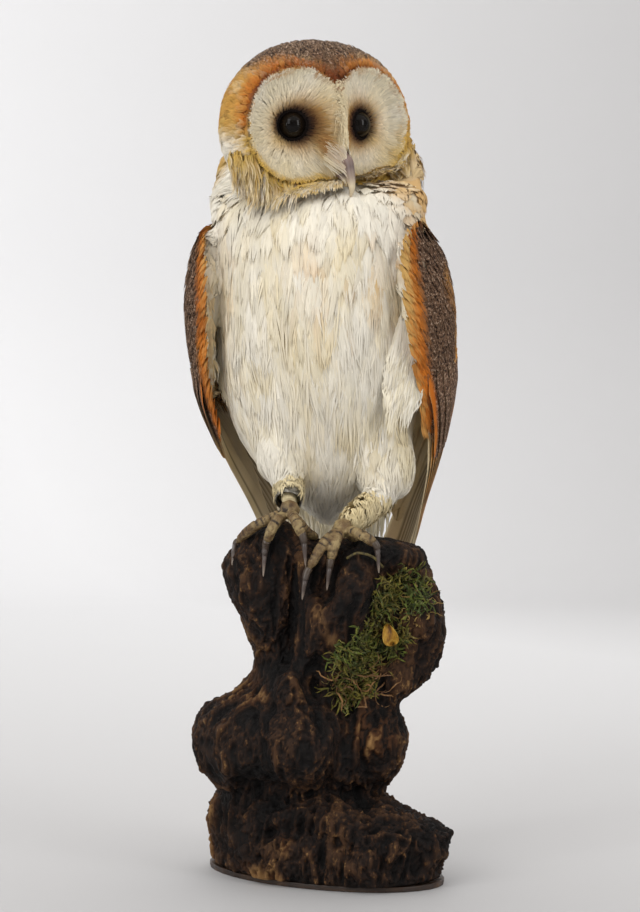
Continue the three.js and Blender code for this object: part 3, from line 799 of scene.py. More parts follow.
# %% [markdown]
# ## The plumage's finish
# Feathers are matt and hardly reflect. Light that sinks into a real coat comes out warm and even, so the
# colours here stay light and the finish stays simple, with no scattering inside the thin barbs.
# One node group turns the pepper attribute into dark and pale specks, finer than a single barb, and is
# used by the skin, the soft feathers and the flight feathers alike.

# %% Pepper group and plumage material
SPECK_SCALE = 700
pepper_group = bpy.data.node_groups.new("peppered_feather", "ShaderNodeTree")
for label, kind in (("Tone", "NodeSocketColor"), ("Pepper", "NodeSocketFloat"), ("Scale", "NodeSocketFloat")):
    pepper_group.interface.new_socket(label, in_out="INPUT", socket_type=kind)
pepper_group.interface.new_socket("Color", in_out="OUTPUT", socket_type="NodeSocketColor")
pepper_group.interface.new_socket("Height", in_out="OUTPUT", socket_type="NodeSocketFloat")
source = node(pepper_group, "NodeGroupInput")
made = node(pepper_group, "NodeGroupOutput")
place = node(pepper_group, "ShaderNodeTexCoord")
grains = node(pepper_group, "ShaderNodeTexNoise", {"Detail": 2.0, "Roughness": 0.7})
wire(place.outputs["Object"], grains.inputs["Vector"])
wire(source.outputs["Scale"], grains.inputs["Scale"])
tone = source.outputs["Tone"]
DARK_SPECKS = (0.53, 0.60, 0.95, srgb(0.13, 0.085, 0.075))
PALE_SPECKS = (0.42, 0.36, 0.70, srgb(0.74, 0.64, 0.55))
for low, high, amount, tint in (DARK_SPECKS, PALE_SPECKS):
    share = maths(pepper_group, "MULTIPLY", remap(pepper_group, grains.outputs["Fac"], low=low, high=high),
                  source.outputs["Pepper"])
    tone = blended(pepper_group, maths(pepper_group, "MULTIPLY", share, amount), tone, tint)
wire(tone, made.inputs["Color"])
wire(grains.outputs["Fac"], made.inputs["Height"])


def link_bump(material, height, strength, depth):
    """Lets a height stand out in the shading; depth is in millimetres."""
    relief = node(material.node_tree, "ShaderNodeBump", {"Strength": strength, "Distance": depth * MM})
    wire(height, relief.inputs["Height"])
    wire(relief.outputs["Normal"], material.node_tree.nodes["Principled BSDF"].inputs["Normal"])


def plumage(name, roughness=0.85, bump=0.15, **sockets):
    """A feather finish that reads the tone and pepper painted on the mesh."""
    material = finish(name, roughness=roughness, **sockets)
    tree = material.node_tree
    group = node(tree, "ShaderNodeGroup", node_tree=pepper_group)
    group.inputs["Scale"].default_value = SPECK_SCALE
    for label, attribute, output in (("Tone", "tone", "Color"), ("Pepper", "pepper", "Fac")):
        reader = node(tree, "ShaderNodeAttribute", attribute_name=attribute)
        wire(reader.outputs[output], group.inputs[label])
    wire(group.outputs["Color"], tree.nodes["Principled BSDF"].inputs["Base Color"])
    link_bump(material, group.outputs["Height"], bump, 0.4)
    return material


soft_plumage = plumage("soft_plumage", specular_ior_level=0.25)
skin_finish = plumage("skin_under_feathers", bump=0.3)
print("materials:", len(bpy.data.materials))

# %% [markdown]
# ## Breast, belly and back
# The feathers of the breast are long, silky and white, and part into pointed clumps. Longer feathers
# lower down hang free over the thighs. The back has shorter, rounder feathers with the golden ground
# and the grey veil. Each region is a piece of its own, which keeps every mesh to a workable size.

# %% Dress the skin
settle(skin, skin_finish, "body_plumage", *FLESH)
face_angle, face_height = abs(around(face_centre)), face_centre[:, 2] / MM
body = np.isin(face_zone, (ZONE["neck"], ZONE["trunk"]))


def dress(name, wanted, spacing, length, width, barbs, slot, seed, rise=1.0, hang=0.0, **look):
    """Covers the wanted skin faces with soft feathers; lengths and widths are in millimetres."""
    draw = np.random.default_rng(seed)
    points, normals, zone, uv = scatter(wanted, spacing * MM, seed)
    size = draw.uniform(0.8, 1.2, len(points))
    grow = length(points) if callable(length) else length
    swell = 1 + 0.14 * noise(points * (1, 1, 0.6), 13 * MM, 7)
    stand = rise(points) if callable(rise) else rise
    height = PLUME_DEPTH[zone] * stand * swell * draw.uniform(0.85, 1.08, len(points))
    path, facing = shafts(points, normals, zone, grow * size * MM, height, seed, hang)
    color, pepper = marks(path[1], zone)
    tip, tip_pepper = marks(path[-1], zone)
    shade = 1 + draw.normal(0, 0.05, (len(points), 1))
    mesh = fans(name, path, facing, width * size, barbs, color * shade, (pepper + tip_pepper) / 2, uv,
                seed + 1, tip=tip * shade, **look)
    return show(mesh, soft_plumage, slot)


def under_chin(points):
    """Feathers rise more where the throat fills the space below the head."""
    return 1 + 0.25 * smooth(points[:, 2] / MM, 366, 386)


def breast_length(points):
    """Shorter where the breast ends at the shoulders, so that the wings stay uncovered."""
    return 36 - 26 * smooth(abs(around(points)), 44, 70) * smooth(points[:, 2] / MM, 335, 350)


front, low = face_angle < 98, face_height < 300
silk = dict(strand=1.6, loose=0.5, pointed=0.8, contrast=0.03)
dress("breast_feathers", body & front & ~low, 6.0, breast_length, 13, 15, "body_plumage", 11,
      rise=under_chin, **silk)
dress("belly_feathers", body & front & low & (face_height > 232), 6.0, 38, 13, 15, "body_plumage", 21, **silk)
silky = body & (face_angle < 72 - 26 * smooth(face_height, 318, 342))
silky = silky & (face_height > 240) & (face_height < 368)
dress("silky_breast", silky, 7.4, 52, 10, 11, "body_plumage", 25,
      rise=1.1, strand=1.2, loose=1.2, pointed=0.95, contrast=0.04)
dress("vent_feathers", body & front & (face_height <= 236), 4.6, 32, 12, 14, "body_plumage", 31,
      hang=0.45, strand=1.3, loose=1.2, pointed=0.8)
dress("back_feathers", body & ~front, 5.4, 24, 14, 13, "body_plumage", 41,
      strand=1.8, loose=0.3, pointed=0.5, stations=3)
ring_place = points_of(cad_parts["leg_ring"].data).mean(0)
from_ring = np.linalg.norm(face_centre - ring_place, axis=1) / MM
dress("thigh_feathers", face_zone == ZONE["thigh"], 4.0,
      lambda p: np.interp(p[:, 2] / MM, [226, 240], [11, 27]), 10, 12,
      "leg_down", 51, strand=1.3, loose=1.0, hang=0.25)
dress("tarsus_down", (face_zone == ZONE["tarsus"]) & (from_ring > 9), 2.2, 10, 4, 6, "leg_down", 61,
      rise=2.7, strand=0.95, loose=1.2, hang=0.2, stations=3)


# %% Free-hanging feathers
def hanging(name, slot, x, z, length, back, facing, tint, seed):
    """Long feathers that fall free of the skin, in body millimetres.

    back(height, r) is how far back they lie at share r of their length.
    """
    draw = np.random.default_rng(seed)
    path = []
    for r in np.linspace(0, 1, 5):
        height = z - length * r
        path.append(moved(BODY, np.stack([x * (1 - 0.1 * r), back(height, r), height], -1) * MM))
    path = np.array(path)
    facing = np.broadcast_to(turned(BODY, unit(np.array(facing, float))), path.shape)
    base = mix(WHITE, CREAM, tint) * (1 + draw.normal(0, 0.05, (len(x), 1)))
    mesh = fans(name, path, facing, 13.0, 14, base, np.zeros(len(x)), skin_uv(path[0]), seed + 1,
                strand=1.3, loose=1.2, pointed=0.8)
    return show(mesh, soft_plumage, slot)


def skin_uv(points):
    """Where the nearest skin lies on the unwrap, for feathers that grow elsewhere."""
    return corner_uv[face_start[[skin_tree.find_nearest(p)[2] for p in points]]]


draw = np.random.default_rng(57)
depth = draw.uniform(-4, 1.5, 230)
TAIL_ROOT = [170, 190, 205, 225, 252], [56, 49, 42, 31, 18]
hanging("undertail_feathers", "body_plumage", draw.uniform(-31, 31, 230), draw.uniform(222, 252, 230),
        draw.uniform(34, 48, 230), lambda height, r: depth + np.interp(height, *TAIL_ROOT),
        (0, -0.93, -0.36), draw.uniform(0.3, 1, 230), 58)
out, start = draw.uniform(50, 61, 60), draw.uniform(284, 318, 60)
hanging("flank_tuft", "body_plumage", out, start, draw.uniform(26, 38, 60),
        lambda height, r: -25 - 4.5 * r + 0.5 * (out - 50), (0.3, -0.95, 0.0), draw.uniform(0, 0.6, 60), 62)
out, start = draw.uniform(-58, -50, 60), draw.uniform(286, 328, 60)
hanging("lining_tuft", "wing_coverts", out, start, draw.uniform(20, 30, 60),
        lambda height, r: -6 - 3 * r + 0 * out, (-0.3, -0.95, 0.0), draw.uniform(0.3, 1.0, 60), 64)

# %% [markdown]
# ## Crown, cheeks and nape
# Head feathers are small. They lean away from the face and back over the skull, and the row next to the
# disc is short and stiff, so that it stands up as a ruff.

# %% Head feathers
u, v, w = to_face(face_centre)
face_edge = disc_edge(u, v)
on_head_skin = face_zone == ZONE["head"]
head_only = on_head_skin & ~((face_edge < 1.0) & (w > 0))


def head_length(points):
    u, v, w = to_face(points)
    ruffed = bell(disc_edge(u, v), 1.05, 0.12) * smooth(w, -10, 0)
    return 8 + 5 * smooth(-v, 0, 40) + 6 * smooth(-w, 0, 40) - 2.5 * ruffed


dress("crown_feathers", head_only & (v > 4), 2.7, head_length, 4.4, 7, "head_plumage", 71, rise=1.0,
      strand=0.95, loose=0.3, pointed=0.5, stations=3)
dress("cheek_feathers", head_only & (v <= 4), 2.8, head_length, 5.0, 8, "head_plumage", 81, rise=1.15,
      strand=1.0, loose=0.5, pointed=0.6, stations=3)


def chin_fringe(count=640):
    """Soft yellow feathers that start on the lower rim of the disc and fall over the top of the breast."""
    draw = np.random.default_rng(87)
    turn, base = np.radians(draw.uniform(-78, 80, count)), draw.uniform(0.98, 1.16, count)
    reach = np.full(count, 34.0)
    for _ in range(6):
        u, v = DISC_SHIFT + reach * np.sin(turn), -reach * np.cos(turn)
        reach = reach * base / disc_edge(u, v)
    root, out = onto_skin(from_face(u, v, face_depth(u, v) - 30 * np.maximum(base - 1.02, 0)))
    path, facing = [root], [out]
    length = draw.uniform(11, 27, count) * MM
    way = unit(np.array([0, -0.12, -1.0]) + draw.normal(0, 0.07, (count, 3)))
    for r in (0.25, 0.5, 0.75, 1.0):
        free = path[0] + way * (length * r)[:, None]
        near, out = onto_skin(free)
        stand = np.maximum(((free - near) * out).sum(1), (2.4 + 6.0 * r ** 0.5) * MM)
        path.append(near + out * stand[:, None])
        facing.append(out)
    root = mix(YELLOW, GOLD, draw.uniform(0, 0.6, count))
    root = mix(root, BROWN, (draw.uniform(0, 1, count) < 0.07) * 0.7)
    pale = draw.uniform(0.2, 1, count) * smooth(length / MM, 9, 18)
    tip = mix(mix(YELLOW, root, 0.3), np.tile(WHITE, (count, 1)), pale)
    return fans("chin_fringe", np.array(path), np.array(facing), draw.uniform(4, 6.5, count), 8, root,
                np.zeros(count), skin_uv(path[0]), 88, strand=0.85, loose=1.1, tip=tip)


show(chin_fringe(), soft_plumage, "head_plumage")

# %% [markdown]
# ## The hair of the face
# The disc is covered with loose, hair-like feathers that radiate from each eye and meet on the ridge,
# where they turn down to the bill. Each one is a single spindle that follows the dish in face
# coordinates, shortest beside the eye.


# %% Face hairs
EYE_SPLAY = math.radians(28)


def hairs(name, lines, ups, size, taper, colors):
    """Single spindles that taper as given and share the unwrap of the skin below their roots."""
    widths = np.array([size * share for share in taper])
    return spindles(name, np.array(lines), np.array(ups), widths, colors, np.zeros(len(size)),
                    skin_uv(lines[0]))


def face_hairs(side, seed, spacing=0.82):
    """Hairs of one half of the disc; side is 1 for the owl's left."""
    draw = np.random.default_rng(seed)
    grid = np.mgrid[-60:60:spacing, -36:36:spacing].reshape(2, -1).T
    u, v = (grid + draw.normal(0, spacing * 0.35, grid.shape)).T
    reach = np.hypot((abs(u) - EYE_SIDE - 1.7) / 0.9, v - EYE_UP)
    keep = (disc_edge(u, v) < 1.0) & ((u - DISC_SHIFT) * side > -0.4) & (reach > 7.7)
    keep &= ~((abs(u - DISC_SHIFT) < 3.2) & (v < -15))
    u, v, reach = u[keep], v[keep], reach[keep]
    away = unit(np.stack([u - side * (EYE_SIDE + 1.7), v - EYE_UP], -1))
    down = np.stack([side * 0.28 + 0 * u, -1 + 0 * u], -1)
    on_ridge = bell(u, DISC_SHIFT, 5.5)
    fall = on_ridge * (0.35 + 0.55 * smooth(-v, -14, 8))
    way = unit(mix(away, down, fall) + draw.normal(0, 0.14, (len(u), 2)))
    length = (3.0 + 7.0 * smooth(reach, 6, 20)) * draw.uniform(0.75, 1.25, len(u)) * (1 - 0.25 * on_ridge)
    start, stop = disc_edge(u, v), disc_edge(u + way[:, 0] * length, v + way[:, 1] * length)
    limit = 1.005 + draw.normal(0, 0.03, len(u))
    length = length * np.clip((limit - start) / np.maximum(stop - start, 1e-3), 0.25, 1)
    lines, ups = [], []
    fluff = on_ridge * draw.uniform(-0.2, 1.6, len(u))
    crest = DISC_SHIFT - side * abs(draw.normal(0, 1.6, len(u)))
    for r, rise in zip((0, 0.35, 0.7, 1), (-1.2, 0.8, 1.5, 1.3)):
        a, b = u + way[:, 0] * length * r, v + way[:, 1] * length * r
        a = np.where((a - crest) * side < 0, crest, a)
        around_eye = bell(np.hypot(abs(a) - EYE_SIDE - 1.7, b - EYE_UP), 7, 4)
        depth, lid = face_depth(a, b), 7.5 - (abs(a) - EYE_SIDE - 1.7) * math.tan(EYE_SPLAY)
        depth = depth + (lid - depth) * around_eye
        depth = depth + rise * (0.35 + 0.65 * smooth(reach, 6, 16)) + fluff * r
        depth = depth + draw.normal(0, 0.12, len(u))
        lines.append(from_face(a, b, depth))
        ups.append(np.tile(turned(HEAD, (0, -1, 0)), (len(u), 1)))
    roots, ends = lines[0], lines[2]
    shade = 1 + draw.normal(0, 0.08, (len(u), 1))
    base, tip = head_marks(roots)[0] * shade, head_marks(ends)[0] * shade
    tip = mix(tip, base, smooth(start, 0.8, 0.95) * smooth(v, -24, -6))
    size = draw.uniform(0.8, 1.25, len(u)) * (0.6 + 0.55 * smooth(reach, 6, 14)) * 1.25 * MM
    # The hairs' roots are painted 5% darker than their tips: painted shade at the base of the fluff.
    return hairs(f"face_{SIDES[side]}", lines, ups, size, (0.8, 1, 0.75, 0.1), (base * 0.95, tip))


for side in SIDES:
    show(face_hairs(side, 90 + side), soft_plumage, "head_plumage")

# %% [markdown]
# ## Wing coverts
# Short feathers clothe the upper wing in rows like roof tiles, small at the shoulder and longer lower
# down. They are placed on the wing's own coordinates, so every row follows the folded wing's curve and
# ends where the long flight feathers begin. The inner face has lining feathers, white above and buff lower
# down, where the buff is painted shade of the hollow beside the body.


# %% Rows of coverts
def wing_shafts(side, z, k, length):
    """Shafts down a wing from height z and share k: the roots are sunk, and the ends lie on it."""
    path, facing = [], []
    for r, lift in zip((0, 0.25, 0.5, 0.75, 1), (-2.6, -1.4, -0.8, -0.4, -0.2)):
        t, at = wing_t(z - length * r), k + 0.035 * r
        path.append(on_wing(side, t, at, lift))
        facing.append(unit(on_wing(side, t, at, lift + 1) - path[-1]))
    return np.array(path), np.array(facing)


def coverts(side):
    draw = np.random.default_rng(200 + side)
    roots = []
    for row, z in enumerate(np.arange(372, 232, -5.2)):
        t = wing_t(z)
        reach_side, reach_back, front, rear = (row(t) for row in wing_rows[2:])
        arc = math.radians(rear - front) * (reach_side + reach_back) / 2
        count = max(int(arc / 5.0), 3)
        k = (np.arange(-1, count) + 0.5 * (row % 2) + 0.25) / count
        roots.append(np.c_[np.full(count + 1, z), k])
    for z in np.arange(372, 234, -3.1):
        roots.append(np.c_[np.full(5, z), np.linspace(-0.05, 0.05, 5)])
    z, k = np.concatenate(roots).T
    z, k = z + draw.normal(0, 1.2, len(z)), np.clip(k + draw.normal(0, 0.008, len(k)), -0.05, 1)
    across = moved(BODY.inverted(), on_wing(side, wing_t(z), k)) / MM
    keep = 0.832 * z - 0.555 * across[:, 1] > 219
    z, k = z[keep], k[keep]
    length = np.interp(z, [250, 300, 371], [26, 19, 12]) * draw.uniform(0.85, 1.15, len(z))
    length = length * (1 - 0.4 * (k < 0.055))
    path, facing = wing_shafts(side, z, k, length)
    t0, k0, _ = wing_place(path[1])
    t1, k1, _ = wing_place(path[-1])
    color, pepper = wing_marks(path[1], t0, k0, 0 * k0)
    tip, _ = wing_marks(path[-1], t1, k1, 0 * k0)
    return fans(f"coverts_{SIDES[side]}", path, facing, length * 0.5, 12, color, pepper, skin_uv(path[0]),
                210 + side, strand=1.0, loose=0.6, tip=tip, pointed=0.8, stations=3, contrast=0.1)


for side in SIDES:
    show(coverts(side), soft_plumage, "wing_coverts")
wing_out = wing_place(face_centre)[2]
dress("wing_lining", (face_zone == ZONE["wing"]) & (wing_out < -4), 5.2, 20, 10, 9, "wing_coverts", 221,
      strand=1.5, loose=0.15, pointed=0.4, stations=3)

# %% [markdown]
# ## Flight feathers
# Each long feather is a vane: two webs that arch a little on either side of a shaft. It is a closed leaf
# of mesh, laid from a start to an end on the folded wing. Inner feathers lie over outer ones, so each
# sits a little higher than the last. The colour runs by web: gold outside, dark along the shaft,
# pale inside, with bars across.


# %% A vane as a closed leaf
VANE_THICK, VANE_CELLS = 0.5, 11


def leaf(path, facing, outer, inner, arch):
    """Upper and lower points of one feather: a grid of rows along the shaft."""
    ahead = unit(np.gradient(path, axis=0))
    side = unit(np.cross(ahead, facing))
    across = np.linspace(-1, 1, VANE_CELLS)
    reach = np.where(across < 0, inner[:, None], outer[:, None]) * across * MM
    drop = -arch * across**2 * np.minimum(outer, inner)[:, None] * MM
    grid = path[:, None] + side[:, None] * reach[..., None] + facing[:, None] * drop[..., None]
    rib = np.exp(-((across * 5) ** 2)) * VANE_THICK * 1.2
    half = (VANE_THICK * 0.5 * (1 - across**4) + 0.05 + rib) * MM
    top, bottom = grid + facing[:, None] * half[:, None], grid - facing[:, None] * half[:, None] * 0.6
    return top, bottom, across


def vane_mesh(name, feathers, color_of):
    """Joins feathers into one mesh with markings and a bake map in cells."""
    mesh = bpy.data.meshes.new(name)
    points, quads, tones, grains, bake = [], [], [], [], []
    columns = math.ceil(math.sqrt(len(feathers) * 4))
    count = 0
    for index, feather in enumerate(feathers):
        top, bottom, across = leaf(*feather["leaf"])
        rows, cells = top.shape[:2]
        n = rows * cells
        s = np.repeat(np.linspace(0, 1, rows), cells)
        x = np.tile(across, rows)
        grid = np.arange(n).reshape(rows, cells) + count
        upper = np.stack([grid[:-1, :-1], grid[:-1, 1:], grid[1:, 1:], grid[1:, :-1]], -1).reshape(-1, 4)
        lower = upper[:, ::-1] + n
        rim = np.concatenate([grid[:, 0], grid[-1, 1:], grid[-2::-1, -1], grid[0, -2:0:-1]])
        after = np.roll(rim, -1)
        wall = np.stack([rim, after, after + n, rim + n], -1)
        points += [top.reshape(-1, 3), bottom.reshape(-1, 3)]
        quads += [upper, lower, wall]
        for below, sheet in ((0, top), (1, bottom)):
            color, pepper = color_of(feather, s, x, below, sheet.reshape(-1, 3))
            tones.append(color)
            grains.append(pepper)
            cell = index * 2 + below
            bake.append(np.c_[(cell % columns + 0.5 + x * 0.42) / columns,
                              (cell // columns + 0.5 + (s - 0.5) * 0.9) / columns])
        count += 2 * n
    quads, points = np.concatenate(quads), np.concatenate(points)
    corner, after, _, before = points[quads[0]]
    if np.dot(np.cross(after - corner, before - corner), feathers[0]["leaf"][1][0]) < 0:
        quads = quads[:, ::-1]
    mesh.from_pydata(points.tolist(), [], quads.tolist())
    paint(mesh, np.concatenate(tones), np.concatenate(grains))
    layer = mesh.uv_layers.new(name="OFBake")
    layer.uv.foreach_set("vector", np.concatenate(bake)[quads.ravel()].astype(np.float32).ravel())
    mesh.shade_smooth()
    return mesh


print("vanes ready")


# %% The feathers of a folded wing
def outline(outer, inner, s):
    """Half widths of both webs at shares s: slim at the quill, full, then a rounded tip."""
    rounded = 0.8
    body = smooth(s, -0.05, 0.18) * 0.85 + 0.15
    tip = np.sqrt(np.clip(1 - (np.clip(s - rounded, 0, 1) / (1 - rounded)) ** 2, 0, 1))
    tip = np.maximum(tip, 0.12)
    return outer * body * tip, inner * body * tip


def wing_feather(side, kind, order, start, end, outer, inner, lift):
    """A feather between two (height, share) places on a wing; outer is the web nearer the front edge."""
    r = np.linspace(0, 1, 26)
    z = start[0] + (end[0] - start[0]) * r
    k = start[1] + (end[1] - start[1]) * (r + 0.5 * r * (1 - r))
    path = on_wing(side, wing_t(z), k, lift - 1.2 * smooth(1 - r, 0.7, 1))
    facing = unit(on_wing(side, wing_t(z), k, lift + 1) - on_wing(side, wing_t(z), k, lift))
    webs = outline(outer, inner, r)[::side]
    length = float(np.linalg.norm(np.diff(path, axis=0), axis=1).sum() / MM)
    return {"kind": kind, "order": order, "length": length, "outer_side": side,
            "leaf": (path, facing, *webs, 0.05)}


def folded_wing(side):
    """Ten primaries, nine secondaries, four tertials and the longest coverts over their roots."""
    made = []
    for i in range(10):
        f = i / 9
        start, end = (268 + 10 * f, 0.03 + 0.035 * i), (114 + 44 * f**1.2, 0.25 + 0.04 * i)
        made.append(wing_feather(side, "primary", i, start, end, 7.5, 13, -2.6 + 0.34 * i))
    for i in range(9):
        f = i / 8
        start, end = (292 + 28 * f, 0.30 + 0.065 * i), (176 + 44 * f, 0.42 + 0.06 * i)
        made.append(wing_feather(side, "secondary", i, start, end, 9, 14, 0.2 + 0.4 * i))
    for i in range(4):
        start, end = (322 + 6 * i, 0.80 + 0.05 * i), (236 + 14 * i, 0.88 + 0.035 * i)
        made.append(wing_feather(side, "tertial", i, start, end, 11, 12, 2.6 + 0.3 * i))
    for i in range(7):
        start, end = (282 + 2 * i, 0.03 + 0.06 * i), (236 + 3 * i, 0.08 + 0.065 * i)
        made.append(wing_feather(side, "cover", i, start, end, 6, 8.5, 0.4 + 0.1 * i))
    return made


def flight_marks(feather, s, x, below, points):
    """Gold outer web, dark line by the shaft, pale inner web, bars, and peppered grey towards the tip."""
    out = x * feather["outer_side"]
    outer = smooth(out, -0.08, 0.08)
    patch = 0.5 + 0.5 * layered(points, 14 * MM, 2, 51)
    gold = mix(mix(ORANGE, GOLD, 0.35 + 0.5 * patch), BUFF, 0.25 * (1 - outer))
    color = mix(BUFF, gold, 0.45 + 0.55 * outer)
    wave = s * feather["length"] / 25 + 0.04 * np.sin(x * 3) + 0.25
    bar = smooth(np.cos(wave * 2 * np.pi), 0.55, 0.85) * (1 - 0.35 * outer)
    color = mix(color, mix(BROWN, GREY, 0.45), bar * 0.8)
    stripe = bell(out, 0.22, 0.24) * smooth(s, 0.05, 0.3)
    color = mix(color, mix(BROWN, DARK, 0.3), stripe * 0.9)
    tip = smooth(s, 0.72, 0.97)
    pepper = np.clip(tip * 0.8 + bar * 0.3 + 0.15 + 0.25 * smooth(patch, 0.5, 0.9), 0, 1)
    color = mix(color, GREY, tip * 0.55)
    color = mix(color, CREAM, smooth(abs(x), 0.86, 0.98) * 0.45)
    if feather["kind"] == "primary" and feather["order"] == 0:
        color = mix(color, CREAM, smooth(out, 0.25, 0.6) * 0.8)
    if feather["kind"] == "cover":
        t, k, _ = wing_place(points)
        color, pepper = wing_marks(points, t, k, 0 * k)
    if below:
        color = mix(mix(WHITE, YELLOW, 0.3 + 0.2 * patch), GREY, bar * 0.12)
        color = mix(color, BROWN, bell(out, 0.0, 0.06) * 0.7)
        pepper = pepper * 0.1
    return color, pepper


for side, word in SIDES.items():
    show(vane_mesh(f"flight_{word}", folded_wing(side), flight_marks), soft_plumage, "flight_feathers",
         f"wing_{word}_secondaries", f"wing_{word}_primaries")

# %% [markdown]
# ## Tail
# Twelve feathers lie stacked under the folded wings, the middle pair on top. They have four or five
# grey-brown bars on a golden ground and are whitish below.


# %% Twelve tail feathers
def tail_feather(i):
    off = i - 5.5
    r = np.linspace(0, 1, 24)
    y = np.interp(r, [0, 0.33, 0.67, 1], [33, 45.5, 58, 70])
    z = np.interp(r, [0, 0.33, 0.67, 1], [232, 204, 168, 127]) + 0.35 * abs(off) * r
    x = off * (0.9 + 3.3 * r**0.8)
    stack = 1.9 - 0.32 * abs(off)
    y = y - 4 * (x / 26) ** 2
    path = moved(BODY, np.stack([x, y, z], -1) * MM)
    normal = turned(BODY, np.tile(unit(np.array([0.012 * off * 4, 0.93, 0.36])), (len(r), 1)))
    path = path + normal * stack * MM
    webs = outline(6.5, 8.5, r)[::1 if off > 0 else -1]
    return {"leaf": (path, normal, *webs, 0.08)}


def tail_marks(feather, s, x, below, points):
    patch = 0.5 + 0.5 * layered(points, 12 * MM, 2, 61)
    color = mix(mix(GOLD, ORANGE, 0.15 + 0.3 * patch), BUFF, 0.3)
    wave = s * 4.6 + 0.1 - 0.12 * abs(x)
    bar = smooth(np.cos(wave * 2 * np.pi), 0.5, 0.8) * smooth(s, 0.08, 0.2)
    color = mix(color, mix(BROWN, GREY, 0.5), bar * 0.85)
    tip = smooth(s, 0.86, 0.99)
    color = mix(color, mix(GREY, CREAM, 0.5), tip * 0.7)
    pepper = np.clip(0.2 + tip * 0.6 + bar * 0.3, 0, 1)
    color = mix(color, mix(BROWN, DARK, 0.3), bell(x, 0, 0.07) * 0.5)
    if below:
        color = mix(mix(WHITE, YELLOW, 0.3), GREY, bar * 0.12)
        color, pepper = mix(color, BROWN, bell(x, 0, 0.06) * 0.6), pepper * 0.1
    return color, pepper


outer_pair_first = [tail_feather(i) for i in (0, 11, 1, 10, 2, 9, 3, 8, 4, 7, 5, 6)]
show(vane_mesh("tail_fan", outer_pair_first, tail_marks), soft_plumage, "tail_feathers", "tail")

# %% [markdown]
# ## Eyes and lids
# A barn owl's eyes are small, nearly black and very glossy, and each looks a little outwards from the
# beak. The globe is a sphere with a raised cornea over a dark brown iris, and the lid is a low ring,
# turned with the spin tool, that hugs it. The globe's low refractive index keeps the reflections of a
# white room faint, and lets only the lamps glint.


# %% Eyes and lids
def eye_frame(side):
    """A frame at the globe's middle whose Z axis is the way the eye looks."""
    turn = Matrix.Rotation(side * EYE_SPLAY, 4, "Z") @ Matrix.Rotation(math.radians(90), 4, "X")
    centre = Matrix.Translation((side * EYE_SIDE * MM, -EYE_OUT * MM, EYE_UP * MM))
    return HEAD @ centre @ turn


def finished(bm, name, matrix=None):
    """Turns a bmesh into a smooth mesh, in place."""
    if matrix is not None:
        bmesh.ops.transform(bm, matrix=matrix, verts=bm.verts)
    bmesh.ops.recalc_face_normals(bm, faces=bm.faces)
    mesh = from_bmesh(bm, name)
    mesh.shade_smooth()
    return mesh


def spun(section, steps):
    """A ring: a closed section of (radius, height) corners in millimetres, spun round the Z axis."""
    ring = bmesh.new()
    corners = [ring.verts.new((r * MM, 0, h * MM)) for r, h in section]
    edges = [ring.edges.new((corners[i], corners[i - 1])) for i in range(len(corners))]
    bmesh.ops.spin(ring, geom=corners + edges, axis=(0, 0, 1), cent=(0, 0, 0), angle=math.tau, steps=steps,
                   use_merge=True)
    return ring


def attribute(tree, name):
    return node(tree, "ShaderNodeAttribute", attribute_name=name).outputs["Fac"]


def grain(tree, scale, detail=4.0, stretch=(1, 1, 1), roughness=0.6):
    """Noise on object coordinates, stretched where a grain has a direction."""
    place = node(tree, "ShaderNodeTexCoord")
    shift = node(tree, "ShaderNodeMapping", {"Scale": stretch})
    made = node(tree, "ShaderNodeTexNoise", {"Scale": scale, "Detail": detail, "Roughness": roughness})
    wire(place.outputs["Object"], shift.inputs["Vector"])
    wire(shift.outputs["Vector"], made.inputs["Vector"])
    return made.outputs["Fac"]


def surface(name, source, stops, relief=None, **sockets):
    """A finish coloured through stops by a mesh attribute or by a grain.

    source is the attribute's name or the grain's settings; relief is another grain's settings, the
    strength with which it stands out, and its depth in millimetres.
    """
    material = finish(name, **sockets)
    tree = material.node_tree
    value = attribute(tree, source) if isinstance(source, str) else grain(tree, *source)
    wire(ramp(tree, value, stops), tree.nodes["Principled BSDF"].inputs["Base Color"])
    if relief:
        settings, strength, depth = relief
        link_bump(material, grain(tree, *settings), strength, depth)
    return material


eye_gloss = surface(
    "eye_gloss", "iris", [(0.0, 0.039, 0.026, 0.026), (0.52, 0.051, 0.039, 0.026), (0.6, 0.086, 0.061, 0.039),
                          (0.85, 0.070, 0.051, 0.039), (1.0, 0.051, 0.039, 0.026)], roughness=0.05, ior=1.25)
lid_skin = surface("lid_skin", (900,), [(0.35, 0.03, 0.02, 0.018), (0.65, 0.085, 0.055, 0.045)],
                   ((1500,), 0.5, 0.3), roughness=0.85, specular_ior_level=0.1)

for side, word in SIDES.items():
    globe = bmesh.new()
    bmesh.ops.create_uvsphere(globe, u_segments=40, v_segments=26, radius=EYE_RADIUS * MM)
    for vert in globe.verts:
        vert.co.z += 0.4 * MM * float(smooth(vert.co.z / MM, 5.4, 8.6))
    iris = [math.hypot(v.co.x, v.co.y) / (7.3 * MM) if v.co.z > 0 else 1.0 for v in globe.verts]
    mesh = finished(globe, f"eye_{word}_globe", eye_frame(side))
    mark(mesh, "iris", np.clip(iris, 0, 1))
    show(mesh, eye_gloss, "eye", f"eye_{word}")
    lid = spun([(7.2, 4.3), (7.5, 4.8), (8.0, 4.8), (8.8, 4.2), (9.7, 3.1), (9.5, 2.3), (8.6, 2.8),
                (7.8, 3.1)], 40)
    for vert in lid.verts:
        vert.co.y *= 1.03 if vert.co.y < 0 else 0.97
    show(finished(lid, f"lid_{word}", eye_frame(side)), lid_skin, "eye")

# %% [markdown]
# ## Bill
# The upper half is a narrow hook with a soft, pinkish-grey cere at its root, a slit of a nostril and an
# ivory tip. A ring is extruded along a curve and refitted at every step, which suits any tapering horn,
# toe or twig, so the same helper serves them all.


